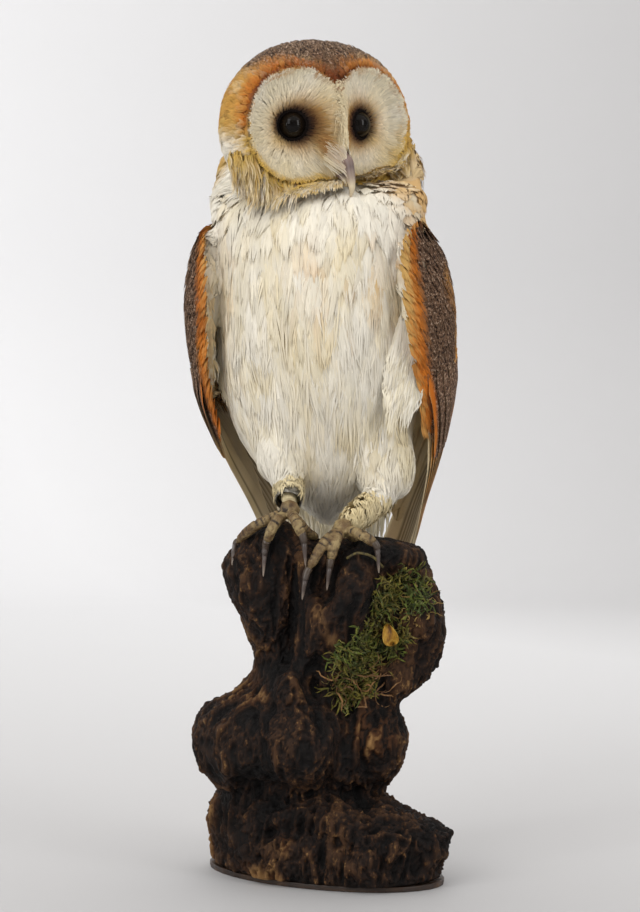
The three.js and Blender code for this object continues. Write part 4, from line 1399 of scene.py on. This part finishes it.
# %% Bars along a curve
def curve_through(points, count):
    """Points of a smooth curve through the given ones."""
    p = np.array(points, float)
    p = np.concatenate([[2 * p[0] - p[1]], p, [2 * p[-1] - p[-2]]])
    t = np.linspace(0, len(points) - 1 - 1e-6, count)
    k = t.astype(int)
    f = (t - k)[:, None]
    a, b, c, d = p[k], p[k + 1], p[k + 2], p[k + 3]
    return 0.5 * (2 * b + (c - a) * f + (2 * a - 5 * b + 4 * c - d) * f**2 + (3 * b - a - 3 * c + d) * f**3)


def sweep(path, wide, tall, around=16, up=(0, 0, 1)):
    """A tapering bar: a ring extruded along the path. Each vertex keeps its share of the length."""
    path = np.array(path, float)
    ahead = unit(np.gradient(path, axis=0))
    wide, tall = np.broadcast_to(wide, len(path)), np.broadcast_to(tall, len(path))
    frames = []
    for centre, way, a, b in zip(path, ahead, wide, tall):
        side = unit(np.cross(way, up))
        top = np.cross(side, way)
        m = np.eye(4)
        m[:3, 0], m[:3, 1], m[:3, 2], m[:3, 3] = side * a, top * b, way, centre
        frames.append(Matrix(m.tolist()))
    bar = bmesh.new()
    share = bar.verts.layers.float.new("share")
    ring = bmesh.ops.create_circle(bar, segments=around, radius=1, cap_ends=True, matrix=frames[0])["verts"]
    edges = [e for e in bar.edges if e.verts[0] in ring and e.verts[1] in ring]
    for i in range(1, len(frames)):
        grown = bmesh.ops.extrude_edge_only(bar, edges=edges)["geom"]
        verts = [g for g in grown if isinstance(g, bmesh.types.BMVert)]
        ring_set = set(verts)
        edges = [g for g in grown if isinstance(g, bmesh.types.BMEdge) and set(g.verts) <= ring_set]
        step = frames[i] @ frames[i - 1].inverted()
        for vert in verts:
            vert.co = step @ vert.co
            vert[share] = i / (len(frames) - 1)
    bmesh.ops.holes_fill(bar, edges=edges, sides=0)
    return bar


def on_head(points):
    """World points from [u, w, v] face coordinates."""
    u, w, v = np.array(points, float).T
    return from_face(u, v, w)


def with_share(bar, name):
    """The finished mesh of a bar, with its share of the length kept for the shader."""
    values = [v[bar.verts.layers.float["share"]] for v in bar.verts]
    mesh = finished(bar, name)
    mark(mesh, "share_along", values)
    return mesh


# %% Bill
bill_horn = surface(
    "bill_horn", "share_along", [(0.0, 0.56, 0.47, 0.42), (0.3, 0.52, 0.43, 0.39), (0.45, 0.42, 0.35, 0.33),
                                 (0.6, 0.60, 0.53, 0.47), (0.75, 0.82, 0.76, 0.64), (1.0, 0.72, 0.65, 0.54)],
    ((420, 4.0, (1, 1, 0.3)), 0.25, 0.4), roughness=0.4)

upper_path = on_head(curve_through([[-1.5, 20, -13], [-1.5, 27, -17.5], [-1.2, 31.5, -23.5], [-1, 34, -30.5],
                                    [-1, 34.8, -36], [-1, 33, -41]], 34))
s = np.linspace(0, 1, 34)
size = np.interp(s, np.linspace(0, 1, 6), [3.2, 3.9, 3.7, 2.8, 1.9, 0.45])
size = size * (1 + 0.1 * bell(s, 0.36, 0.06)) * MM
upper = sweep(upper_path, size * 0.8, size * 1.1, 28, up=turned(HEAD, (0, -1, 0.2)))
face_side = Vector(turned(HEAD, (1, 0, 0)))
for vert in upper.verts:
    at = vert.co - Vector(upper_path[13])
    across = at.dot(face_side)
    if abs(across) > 1.5 * MM and at.length < 3.6 * MM:
        depth = 0.9 * MM * math.exp(-((at.length / MM - 2.7) / 0.9) ** 2)
        vert.co -= face_side * math.copysign(depth, across)
show(with_share(upper, "bill_hook"), bill_horn, "bill", "bill_upper")
lower_path = on_head(curve_through([[-1, 18, -26], [-1, 25.5, -29.5], [-1, 29.5, -33.5]], 16))
size = np.interp(np.linspace(0, 1, 16), [0, 0.5, 1], [2.8, 2.5, 0.6]) * MM
lower = sweep(lower_path, size, size * 0.75, 20, up=turned(HEAD, (0, -1, 0.2)))
show(with_share(lower, "bill_under"), bill_horn, "bill", "bill_lower")


# %% Bristles over the bill
HAIR_TAPER = (1, 1, 0.7, 0.1)


def bristles(side, count=230):
    draw = np.random.default_rng(300 + side)
    a, b = draw.uniform(0, 1, count), draw.uniform(0, 1, count)
    off = 2.4 + 6.5 * a
    u, v = DISC_SHIFT + side * off, -3 - 15 * b - 3 * a
    way = np.stack([-side * (0.25 + 0.045 * off), -np.ones(count)], -1)
    way = unit(way + draw.normal(0, 0.1, (count, 2)))
    length = draw.uniform(8, 13, count)
    lift = draw.uniform(0.4, 1.3, count)
    lines, ups = [], []
    for r, rise in zip((0, 0.35, 0.7, 1), (-0.6, 1.4, 2.2, 2.0)):
        x, y = u + way[:, 0] * length * r, v + way[:, 1] * length * r
        x = np.where((x - DISC_SHIFT) * side < 1.2, DISC_SHIFT + 1.2 * side, x)
        bill = 31.8 + 2.2 * smooth(-y, 22, 32) - 0.9 * (abs(x - DISC_SHIFT)) ** 1.3
        depth = np.maximum(face_depth(x, y), np.where(y < -15, bill, -99)) + rise * lift
        lines.append(from_face(x, y, depth))
        ups.append(np.tile(turned(HEAD, (0.4 * side, -1, 0)), (count, 1)))
    shade = 1 + draw.normal(0, 0.13, (count, 1))
    base = mix(face_marks(lines[0], u, v), CREAM, 0.35) * shade
    size = draw.uniform(0.4, 0.7, count) * MM
    tip = mix(np.tile(WHITE, (count, 1)), base, 0.25)
    return hairs(f"bristles_{SIDES[side]}", lines, ups, size, HAIR_TAPER, (base, tip))


def ridge_tufts(count=520):
    """Longer, ruffled hairs that stand on the ridge and fall to both sides of it."""
    draw = np.random.default_rng(310)
    u, v = DISC_SHIFT + draw.normal(0, 1.5, count), draw.uniform(-13, 24, count)
    side = np.where(draw.uniform(0, 1, count) < 0.5, -1.0, 1.0)
    way = unit(np.stack([side * draw.uniform(0.0, 0.3, count), -np.ones(count)], -1))
    length, lift = draw.uniform(4.5, 9, count), draw.uniform(0.3, 1.3, count)
    lines, ups = [], []
    for r, rise in zip((0, 0.35, 0.7, 1), (-1.0, 0.9, 1.3, 1.1)):
        x, y = u + way[:, 0] * length * r, v + way[:, 1] * length * r
        lines.append(from_face(x, y, face_depth(x, y) + rise * lift))
        ups.append(turned(HEAD, unit(np.stack([side * 0.5, -np.ones(count), 0 * side], -1))))
    base = mix(CREAM, BUFF, draw.uniform(0.0, 0.55, count)) * (0.86 + draw.normal(0, 0.06, (count, 1)))
    size = draw.uniform(0.35, 0.6, count) * MM
    tip = mix(base, np.tile(WHITE, (count, 1)), 0.2)
    # The tufts' roots are painted 10% darker than their tips: painted shade at the base of the fluff.
    return hairs("ridge_tufts", lines, ups, size, HAIR_TAPER, (base * 0.9, tip))


for mesh in (bristles(-1), bristles(1), ridge_tufts()):
    show(mesh, soft_plumage, "head_plumage")

# %% [markdown]
# ## Feet and claws
# The feet are bare and scaly, in a dull grey-yellow. The solids of foot and toes are melted into one
# skin, and rings of scutes are pressed into it by distance along each toe. Claws are horn bars that
# follow the CAD hooks, dark at the root and pale at the point.


# %% Melt CAD solids into one smooth body
def melted(name, nodes, voxel, passes):
    """Several CAD nodes as one remeshed, smoothed piece; voxel is in millimetres."""
    bm = bmesh.new()
    for part in nodes:
        bm.from_mesh(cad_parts[part].data)
    bmesh.ops.remove_doubles(bm, verts=bm.verts, dist=1e-6)
    piece = placed(name, from_bmesh(bm, name))
    made = softened_mesh(piece, 0.5, passes, voxel)
    print(name, "triangles:", sum(len(p.vertices) - 2 for p in made.polygons))
    return piece


def middle_line(name, count=9):
    """Middles of slices through a long CAD node, from end to end."""
    p = points_of(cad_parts[name].data)
    centre = p.mean(0)
    axis = np.linalg.svd(p - centre, full_matrices=False)[2][0]
    s = (p - centre) @ axis
    edges = np.linspace(s.min(), s.max() + 1e-9, count + 1)
    slices = [p[(s >= a) & (s < b)] for a, b in zip(edges, edges[1:])]
    return np.array([c.mean(0) for c in slices if len(c)])


# %% Scaly feet
scale_skin = surface(
    "scale_skin", "groove", [(0.0, 0.60, 0.52, 0.355), (0.3, 0.50, 0.42, 0.28), (1.0, 0.17, 0.125, 0.085)],
    ((900, 3.0), 0.6, 0.6), roughness=0.62)
tree = scale_skin.node_tree
skin_tone = tree.nodes["Principled BSDF"].inputs["Base Color"]
blotch = ramp(tree, grain(tree, 130), [(0.36, 0.62, 0.52, 0.42), (0.6, 1.0, 1.0, 1.0)])
wire(blended(tree, 1.0, skin_tone.links[0].from_socket, blotch, blend_type="MULTIPLY"), skin_tone)


def scaled_foot(side):
    toes = [f"toe_{side}_{which}" for which in ("outer", "middle", "inner", "hind")]
    piece = melted(f"foot_{side}_scales", [f"foot_{side}"] + toes, 0.62, 3)
    mesh = piece.data
    p, normal = points_of(mesh), normals_of(mesh)
    groove = np.zeros(len(p))
    nearest = np.full(len(p), 1e9)
    for toe in toes:
        line = curve_through(middle_line(toe), 60)
        run = np.concatenate([[0], np.cumsum(np.linalg.norm(np.diff(line, axis=0), axis=1))])
        far = np.linalg.norm(p[:, None] - line[None], axis=-1)
        k, near = far.argmin(1), far.min(1)
        s = run[k] / MM + 0.5 * noise(p, 5 * MM, 71)
        ring = bell(np.mod(s, 2.9) - 1.45, 0, 0.36)
        closer = near < nearest
        groove = np.where(closer, ring * smooth(normal[:, 2], -0.55, 0.15), groove)
        nearest = np.minimum(nearest, near)
    pebble = np.abs(noise(p, 1.5 * MM, 73))
    under = 1 - smooth(normal[:, 2], -0.5, 0.1)
    pits = 0.5 * (1 - smooth(pebble, 0, 0.25)) * (under + 0.35)
    groove = np.clip(groove * (nearest < 6 * MM) + pits, 0, 1)
    put_points(mesh, p - normal * (groove * 0.42 * MM)[:, None])
    mark(mesh, "groove", groove)
    return settle(piece, scale_skin, "toe_skin", f"foot_{side}", *toes)


for word in SIDES.values():
    scaled_foot(word)

# %% Claws
claw_horn = surface(
    "claw_horn", "share_along", [(0.0, 0.30, 0.25, 0.20), (0.35, 0.24, 0.20, 0.18), (0.7, 0.33, 0.285, 0.26),
                                 (1.0, 0.62, 0.56, 0.50)],
    ((300, 4.0, (1, 1, 0.25)), 0.3, 0.4), roughness=0.35)
for side in SIDES.values():
    for which in ("outer", "middle", "inner"):
        name = f"claw_{side}_{which}"
        line, toe = middle_line(name, 7), middle_line(f"toe_{side}_{which}", 9)
        if np.linalg.norm(line[-1] - toe.mean(0)) < np.linalg.norm(line[0] - toe.mean(0)):
            line = line[::-1]
        if np.linalg.norm(toe[0] - line[0]) < np.linalg.norm(toe[-1] - line[0]):
            toe = toe[::-1]
        inside, joint = toe[-1] * 0.6 + toe[-2] * 0.4, toe[-1] * 0.35 + line[0] * 0.65
        tip = line[-1] + (line[-1] - line[-2]) * 0.9
        path = curve_through([inside, joint, *line[1:], tip], 30)
        s = np.linspace(0, 1, 30)
        size = (2.1 * (1 - s) ** 0.75 + 0.18) * MM
        horn = sweep(path, size, size * 1.15, 14, up=(0, -1, 0.1))
        show(with_share(horn, f"{name}_horn"), claw_horn, "claw", name)

# %% [markdown]
# ## Leg ring
# The band on the right leg is a short tube of dull, scratched metal. A rectangle spun about the leg's
# own line makes it, and a small bevel on its four edges catches the light.

# %% Leg ring
ring_metal = surface("ring_metal", (500,), [(0.4, 0.40, 0.385, 0.35), (0.62, 0.66, 0.65, 0.62)], metallic=1.0)
tree = ring_metal.node_tree
scratches = grain(tree, 1400, stretch=(1, 1, 6))
wire(remap(tree, scratches, bottom=0.3, top=0.6), tree.nodes["Principled BSDF"].inputs["Roughness"])


def bevel_sharp(bm, limit, offset, segments):
    """Rounds the edges that bend by more than limit, in radians; offset is in millimetres."""
    sharp = [e for e in bm.edges if len(e.link_faces) == 2 and e.calc_face_angle(0) > limit]
    bmesh.ops.bevel(bm, geom=sharp, affect="EDGES", offset=offset * MM, segments=segments, profile=0.5,
                    material=-1)


band = points_of(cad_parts["leg_ring"].data)
centre = (band.min(0) + band.max(0)) / 2
axis = unit(moved(BODY, [-0.021, -0.004, 0.228]) - moved(BODY, [-0.0195, -0.029, 0.207]))
ring = spun([(6.7, -2.75), (7.5, -2.75), (7.5, 2.75), (6.7, 2.75)], 72)
bmesh.ops.remove_doubles(ring, verts=ring.verts, dist=1e-6)
bmesh.ops.recalc_face_normals(ring, faces=ring.faces)
bevel_sharp(ring, 1.0, 0.16, 2)
tilt = Vector((0, 0, 1)).rotation_difference(Vector(axis)).to_matrix().to_4x4()
band_mesh = finished(ring, "leg_ring_band", Matrix.Translation(Vector(centre)) @ tilt)
show(band_mesh, ring_metal, "ring_metal", "leg_ring")

# %% [markdown]
# ## The root
# The owl stands on a gnarled, dark root. Its CAD solid is remeshed finely and its surface is pushed in
# and out by ridged noise that is stretched along the grain: deep cracks, flaky plates and small pits.
# The same height is kept on the mesh, so the shader can paint the ridges lighter and the cracks near black,
# partly the bark's own colour and partly painted shade and highlight, with patches of ochre dust.


# %% Limbs and hollows of the root
def ridged(points, size, seed):
    return 1 - np.abs(noise(points, size, seed)) * 2


LIMBS = [([(-47, 190), (-48, 169), (-40, 147), (-29, 125), (-21, 106)], 8, 3.5),
         ([(12, 159), (-3, 139), (-14, 122), (-20, 106)], 6.5, 5.5),
         ([(16, 164), (17, 163)], 13, 4.5), ([(52, 158), (60, 137), (57, 120), (44, 109), (32, 112)], 7, 5.0),
         ([(34, 101), (38, 84), (35, 66)], 9, 3.0), ([(-55, 92), (-33, 96), (-14, 92)], 10, 2.5),
         ([(-52, 70), (-30, 66), (-8, 72)], 9, 2.0), ([(42, 42), (56, 38)], 8, 3.0),
         ([(-19, 182), (-21, 164), (-23, 143), (-24, 131)], 9, -14.0), ([(3, 178), (0, 164)], 6.5, -10.0),
         ([(-36, 178), (-33, 160)], 4, -3.5), ([(-33, 146), (-24, 118)], 2.5, 2.5),
         ([(22, 186), (50, 180)], 4, 3.0),
         ([(30, 172), (50, 168)], 4, -4.5), ([(-8, 112), (2, 98)], 4, -4.0), ([(24, 92), (22, 70)], 4, -5.0),
         ([(40, 160), (29, 134), (20, 112)], 11, -9.0), ([(12, 104), (14, 84), (4, 60)], 7, -9.0),
         ([(-44, 54), (-14, 51), (30, 49)], 6, -7.0), ([(-30, 28), (-10, 34), (14, 24)], 5, -3.5),
         ([(-52, 40), (-44, 16)], 4, 2.5), ([(24, 38), (32, 14)], 5, -3.0), ([(-24, 42), (-20, 12)], 4, 2.0)]


def line_distance(points, corners):
    """Distance in the front view from points to a broken line; both in metres."""
    best = np.full(len(points), 1e9)
    flat = points[:, [0, 2]]
    for a, b in zip(corners, corners[1:]):
        a, b = np.array(a) * MM, np.array(b) * MM
        share = np.clip((flat - a) @ (b - a) / ((b - a) @ (b - a)), 0, 1)
        best = np.minimum(best, np.linalg.norm(flat - a - share[:, None] * (b - a), axis=-1))
    return best


root = melted("root_bark", ["mount_root"], 2.2, 5)
p, normal = points_of(root.data), normals_of(root.data)
facing = smooth(-normal[:, 1], -0.1, 0.45)
push = sum(high * np.exp(-((line_distance(p, line) / (wide * MM)) ** 2)) for line, wide, high in LIMBS)
push = push * facing + 3.0 * noise(p, 26 * MM, 80) * (1 - facing)
put_points(root.data, p + unit(normal * (1, 1, 0.4)) * (push * MM)[:, None])
mesh = softened_mesh(root, 0.5, 2, voxel=1.2)
print("root faces:", len(mesh.polygons))

# %% Bark
p, normal = points_of(mesh), normals_of(mesh)
twist = p + 8 * MM * np.stack([noise(p, 36 * MM, 81), noise(p, 36 * MM, 82), 0.5 * noise(p, 36 * MM, 83)], -1)
grainwise = twist * (1, 1, 0.27)
relief = 0.36 * ridged(grainwise, 8.5 * MM, 84) + 0.38 * ridged(grainwise, 4.2 * MM, 85)
relief += 0.14 * ridged(twist * (1, 1, 0.6), 2.7 * MM, 86) + 0.42 * noise(twist, 15 * MM, 87)
flake = np.mod(relief * 2.2 + noise(twist, 30 * MM, 88), 1.0)
height = relief * 0.85 + 0.35 * smooth(flake, 0, 0.85) - 0.4
low_band = 1 + 0.6 * (1 - smooth(p[:, 2], 0.03, 0.07))
calm = 1 - 0.75 * smooth(p[:, 2], 0.183, 0.192)
foot_line = smooth(p[:, 2], 0.003, 0.006)
put_points(mesh, p + normal * (height * low_band * calm * 3.3 * MM)[:, None] * foot_line[:, None])
mesh = softened_mesh(root, 0.25, 1)
mark(mesh, "ridge", np.clip(height * 0.55 + 0.45, 0, 1))
dust = smooth(layered(twist, 26 * MM, 3, 90), 0.0, 0.7) * (0.35 + 0.65 * (1 - smooth(p[:, 2], 0.06, 0.15)))
mark(mesh, "dust", dust)

bark = finish("bark", roughness=0.7, specular_ior_level=0.18)
tree = bark.node_tree
fine = maths(tree, "MULTIPLY", grain(tree, 260, 6.0, (1, 1, 0.35), 0.7), 0.5)
# The crest value paints ridges lighter and cracks near black: partly the bark's own darker fissures, partly
# painted shade in the cracks and painted highlight on the ridges.
crest = maths(tree, "MULTIPLY", maths(tree, "ADD", attribute(tree, "ridge"), fine), 0.8)
deep = ramp(tree, crest, [(0.34, 0.02, 0.015, 0.013), (0.52, 0.05, 0.034, 0.028),
                          (0.68, 0.12, 0.075, 0.05), (0.85, 0.27, 0.18, 0.11)])
warm = ramp(tree, crest, [(0.34, 0.03, 0.02, 0.015), (0.52, 0.10, 0.06, 0.034),
                          (0.68, 0.29, 0.175, 0.085), (0.85, 0.58, 0.44, 0.27)])
fleck = remap(tree, grain(tree, 480, 3.0, (1, 1, 0.5), 0.75), low=0.56, high=0.66, top=0.75)
dusted = maths(tree, "MAXIMUM", fleck, attribute(tree, "dust"))
wire(blended(tree, dusted, deep, warm), tree.nodes["Principled BSDF"].inputs["Base Color"])
link_bump(bark, crest, 1.0, 3.0)
settle(root, bark, "root_wood", "mount_root")

# %% [markdown]
# ## Board
# The base is a thin brown board. The CAD plate keeps its outline, a bevel softens its edges, and rings of
# wood grain run through it as bands of stretched noise.

# %% Board
board_wood = surface(
    "board_wood", (60, 6.0, (0.25, 3.0, 3.0), 0.65),
    [(0.32, 0.10, 0.065, 0.04), (0.5, 0.19, 0.125, 0.075), (0.68, 0.30, 0.21, 0.13)],
    ((90, 6.0, (0.2, 4.0, 4.0), 0.7), 0.25, 0.8), roughness=0.45)
plate = bmesh.new()
plate.from_mesh(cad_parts["mount_board"].data)
bmesh.ops.remove_doubles(plate, verts=plate.verts, dist=1e-6)
bmesh.ops.dissolve_limit(plate, angle_limit=0.02, verts=plate.verts, edges=plate.edges)
bevel_sharp(plate, 0.7, 0.5, 3)
bmesh.ops.recalc_face_normals(plate, faces=plate.faces)
show(from_bmesh(plate, "board_plate"), board_wood, "board_wood", "mount_board")

# %% [markdown]
# ## Moss, tendrils and a curled leaf
# A cushion of dry moss fills the hollow in the root's front. Each strand is a curly spindle that starts
# on the bark and wanders along it, green below and straw-yellow at the end. Dried rootlets, a twig and
# a curled leaf are caught in it.

# %% Moss strands
moss_fibre = plumage("moss_fibre", roughness=0.8)
root_centre, root_normal, root_area = faces_of(root.data)
POCKET = [(43, 161), (36, 148), (26, 130), (13, 112)]


def rooted(line, reach, seed, count, clump=0.35):
    """Random places and normals on the root's front, close to a line, thinned out between clumps."""
    draw = np.random.default_rng(seed)
    near = line_distance(root_centre, line) / MM + 6 * noise(root_centre, 9 * MM, seed)
    wanted = (near < reach) & (root_normal[:, 1] < 0.25) & (root_centre[:, 1] < 0)
    odds = root_area * wanted * (smooth(noise(root_centre, 6 * MM, seed + 1), -0.3, clump) + 0.05)
    pick = draw.choice(len(odds), count, p=odds / odds.sum())
    return root_centre[pick] + draw.normal(0, 0.4 * MM, (count, 3)), root_normal[pick]


def strands(name, place, way, length, size, colors, seed, curl=0.5, stations=6, hug=0.7, sag=-0.35):
    """Curly threads that leave the surface and wander along it."""
    draw = np.random.default_rng(seed)
    n = len(place)
    heading = unit(np.cross(way, draw.normal(0, 1, (n, 3))) + way * 0.25 + np.array([0, 0, sag]))
    lines, here = [place - way * 1.5 * MM], place - way * 1.5 * MM
    for i in range(1, stations):
        heading = unit(heading + draw.normal(0, curl, (n, 3)) + way * (0.35 if i < 3 else -0.35 * hug))
        here = here + heading * (length / (stations - 1))[:, None]
        lines.append(here)
    lines = np.array(lines)
    ups = np.broadcast_to(way, lines.shape)
    widths = np.array([size * (0.7 + 0.3 * math.sin(math.pi * i / (stations - 1))) for i in range(stations)])
    uv = np.tile((0.5, 0.5), (n, 1)) + draw.uniform(-0.4, 0.4, (n, 2))
    return spindles(name, lines, unit(ups + 0.3 * draw.normal(0, 1, lines.shape)), widths * MM, colors,
                    np.full(n, 0.35), uv, thick=0.4)


draw = np.random.default_rng(401)
count = 2500
place, way = rooted(POCKET, 12.5, 402, count, 0.2)
fresh = smooth(noise(place, 12 * MM, 404) + draw.normal(0, 0.35, count), -0.6, 0.7)
low = mix(srgb(0.05, 0.07, 0.015), srgb(0.13, 0.17, 0.03), draw.uniform(0, 1, count))
high = mix(srgb(0.19, 0.27, 0.04), srgb(0.42, 0.47, 0.10), draw.uniform(0, 1, count))
high = mix(high, srgb(0.62, 0.50, 0.18), (1 - fresh) * 0.5)
made = strands("moss_strands", place, way, draw.uniform(6, 15, count) * MM, draw.uniform(0.6, 1.35, count),
               (low, high), 403, curl=0.6)
show(made, moss_fibre, "moss", "mount_moss")


def dry_threads(name, line, reach, seed, count, ends, length, size, **bend):
    """Loose dry threads near a line, each in one colour between the two given."""
    place, way = rooted(line, reach, seed, count)
    straw = mix(*ends, draw.uniform(0, 1, count))
    made = strands(name, place, way, draw.uniform(*length, count) * MM, draw.uniform(*size, count),
                   (straw, straw), seed + 2, stations=10, **bend)
    return show(made, moss_fibre, "moss")


straws = srgb(0.46, 0.36, 0.15), srgb(0.72, 0.60, 0.33)
dry_threads("moss_tendrils", [(48, 166), (50, 150)], 8, 411, 34, straws, (8, 15), (0.4, 0.7),
            curl=0.75, hug=0.2, sag=0.1)
straws = srgb(0.34, 0.22, 0.12), srgb(0.58, 0.42, 0.24)
dry_threads("dry_rootlets", [(10, 116), (30, 104)], 7, 421, 46, straws, (14, 28), (0.6, 1.1),
            curl=0.4, hug=0.3, sag=-0.1)

# %% A curled leaf and a twig
def front_of_root(x, z, out):
    """The place in front of the root at x and z, in millimetres; out is how far it stands off."""
    ahead = np.hypot(root_centre[:, 0] - x * MM, root_centre[:, 2] - z * MM) < 4 * MM
    return Vector((x * MM, root_centre[ahead, 1].min() - out * MM, z * MM))


leaf = bmesh.new()
bmesh.ops.create_grid(leaf, x_segments=12, y_segments=18, size=1.0)
for vert in leaf.verts:
    across, down = vert.co.x, vert.co.y
    half = 4.2 * math.sqrt(max(1 - down**2, 0.0)) * (1 - 0.25 * down) + 0.1
    vert.co = Vector((across * half, down * 6.5, 3.0 * abs(across) ** 2 - 3.5 * down**2)) * MM
bmesh.ops.solidify(leaf, geom=leaf.faces, thickness=0.35 * MM)
spot = Matrix.Translation(front_of_root(36, 138, 5)) @ Matrix.Rotation(math.radians(100), 4, "X")
spot = spot @ Matrix.Rotation(0.3, 4, "Z")
leaf_skin = surface("dry_leaf", (300, 4.0, (1, 1, 0.4)),
                    [(0.35, 0.36, 0.22, 0.06), (0.5, 0.66, 0.48, 0.14), (0.65, 0.80, 0.66, 0.28)],
                    ((700,), 0.4, 0.4), roughness=0.6)
show(finished(leaf, "curled_leaf", spot), leaf_skin, "moss")
twig_path = [front_of_root(*at) for at in ((12, 181, 0), (18, 184, 2), (26, 182, 3), (32, 176, 1))]
twig = sweep(curve_through(twig_path, 14), 0.7 * MM, 0.6 * MM, 8, (0, -1, 0))
twig_bark = surface("twig_bark", (500,), [(0.35, 0.16, 0.13, 0.05), (0.65, 0.42, 0.37, 0.18)], roughness=0.7)
show(finished(twig, "moss_twig"), twig_bark, "moss")

# %% [markdown]
# ## Studio
# A pale round floor curves up into a low wall on every side, like a photographer's paper sweep, so the
# owl can be seen from any side against the same paper. It is one profile spun round the vertical axis.
# A tall soft light stands in front to the left, a weaker one to the right, and a narrow one gives the
# eyes their upright glints. One lamp hangs above and behind the owl and one lights the paper, and a
# bright sky fills the shadows.

# %% Floor and lights
studio = bmesh.new()
sweep_arc = [(2.1 + 0.6 * math.sin(a), 0.6 - 0.6 * math.cos(a)) for a in np.linspace(0, math.pi / 2, 10)]
profile_verts = [studio.verts.new((0, y, z)) for y, z in [(0.0, 0.0)] + sweep_arc + [(2.7, 1.9)]]
profile_edges = [studio.edges.new(pair) for pair in zip(profile_verts, profile_verts[1:])]
bmesh.ops.spin(studio, geom=profile_verts + profile_edges, axis=(0, 0, 1), cent=(0, 0, 0), angle=math.tau,
               steps=64, use_merge=True)
bmesh.ops.remove_doubles(studio, verts=studio.verts, dist=1e-5)
bmesh.ops.recalc_face_normals(studio, faces=studio.faces)
bmesh.ops.reverse_faces(studio, faces=studio.faces)
floor_mesh = from_bmesh(studio, "floor")
floor_mesh.shade_smooth()
floor = placed("floor", floor_mesh)
paper = finish("paper_sweep", roughness=0.7)
tree = paper.node_tree
place = node(tree, "ShaderNodeTexCoord")
parts = node(tree, "ShaderNodeSeparateXYZ")
wire(place.outputs["Object"], parts.inputs["Vector"])
# The paper is painted darker to the right and towards the front: painted shade for light falling off across
# the studio.
aside = remap(tree, parts.outputs["X"], low=-0.6, high=0.6, top=0.66)
near = remap(tree, parts.outputs["Y"], low=2.6, high=-0.1)
shade = ramp(tree, maths(tree, "MAXIMUM", aside, near),
             [(0.0, 0.95, 0.95, 0.955), (0.5, 0.84, 0.838, 0.84), (1.0, 0.73, 0.725, 0.725)])
wire(shade, tree.nodes["Principled BSDF"].inputs["Base Color"])
floor_mesh.materials.append(paper)


def lamp(name, place, aim, size, power):
    data = bpy.data.lights.new(name, "AREA")
    data.shape, data.energy = "RECTANGLE", power
    data.size, data.size_y = size
    made = placed(name, data)
    made.location = place
    made.rotation_euler = (Vector(aim) - Vector(place)).to_track_quat("-Z", "Y").to_euler()


lamp("key", (-1.0, -1.7, 1.2), (0, 0, 0.28), (0.8, 1.6), 11)
lamp("fill", (1.5, -1.3, 0.8), (0, 0, 0.22), (0.5, 1.4), 10)
lamp("strip", (-1.25, -1.0, 0.7), (0, 0, 0.42), (0.14, 1.1), 6.5)
lamp("top", (0, 0.75, 1.9), (0, 0, 0.3), (1.6, 1.0), 9)
lamp("wall", (0, 0.9, 1.7), (0, 2.7, 0.8), (2.2, 0.6), 5.5)
world = bpy.data.worlds.new("studio")
world.use_nodes = True
world.node_tree.nodes["Background"].inputs["Color"].default_value = (1.0, 0.99, 0.975, 1)
world.node_tree.nodes["Background"].inputs["Strength"].default_value = 1.0
bpy.context.scene.world = world
bpy.context.scene.view_settings.view_transform = "Standard"
print("lights:", len(bpy.data.lights))

# %% Finish
print("scene built")
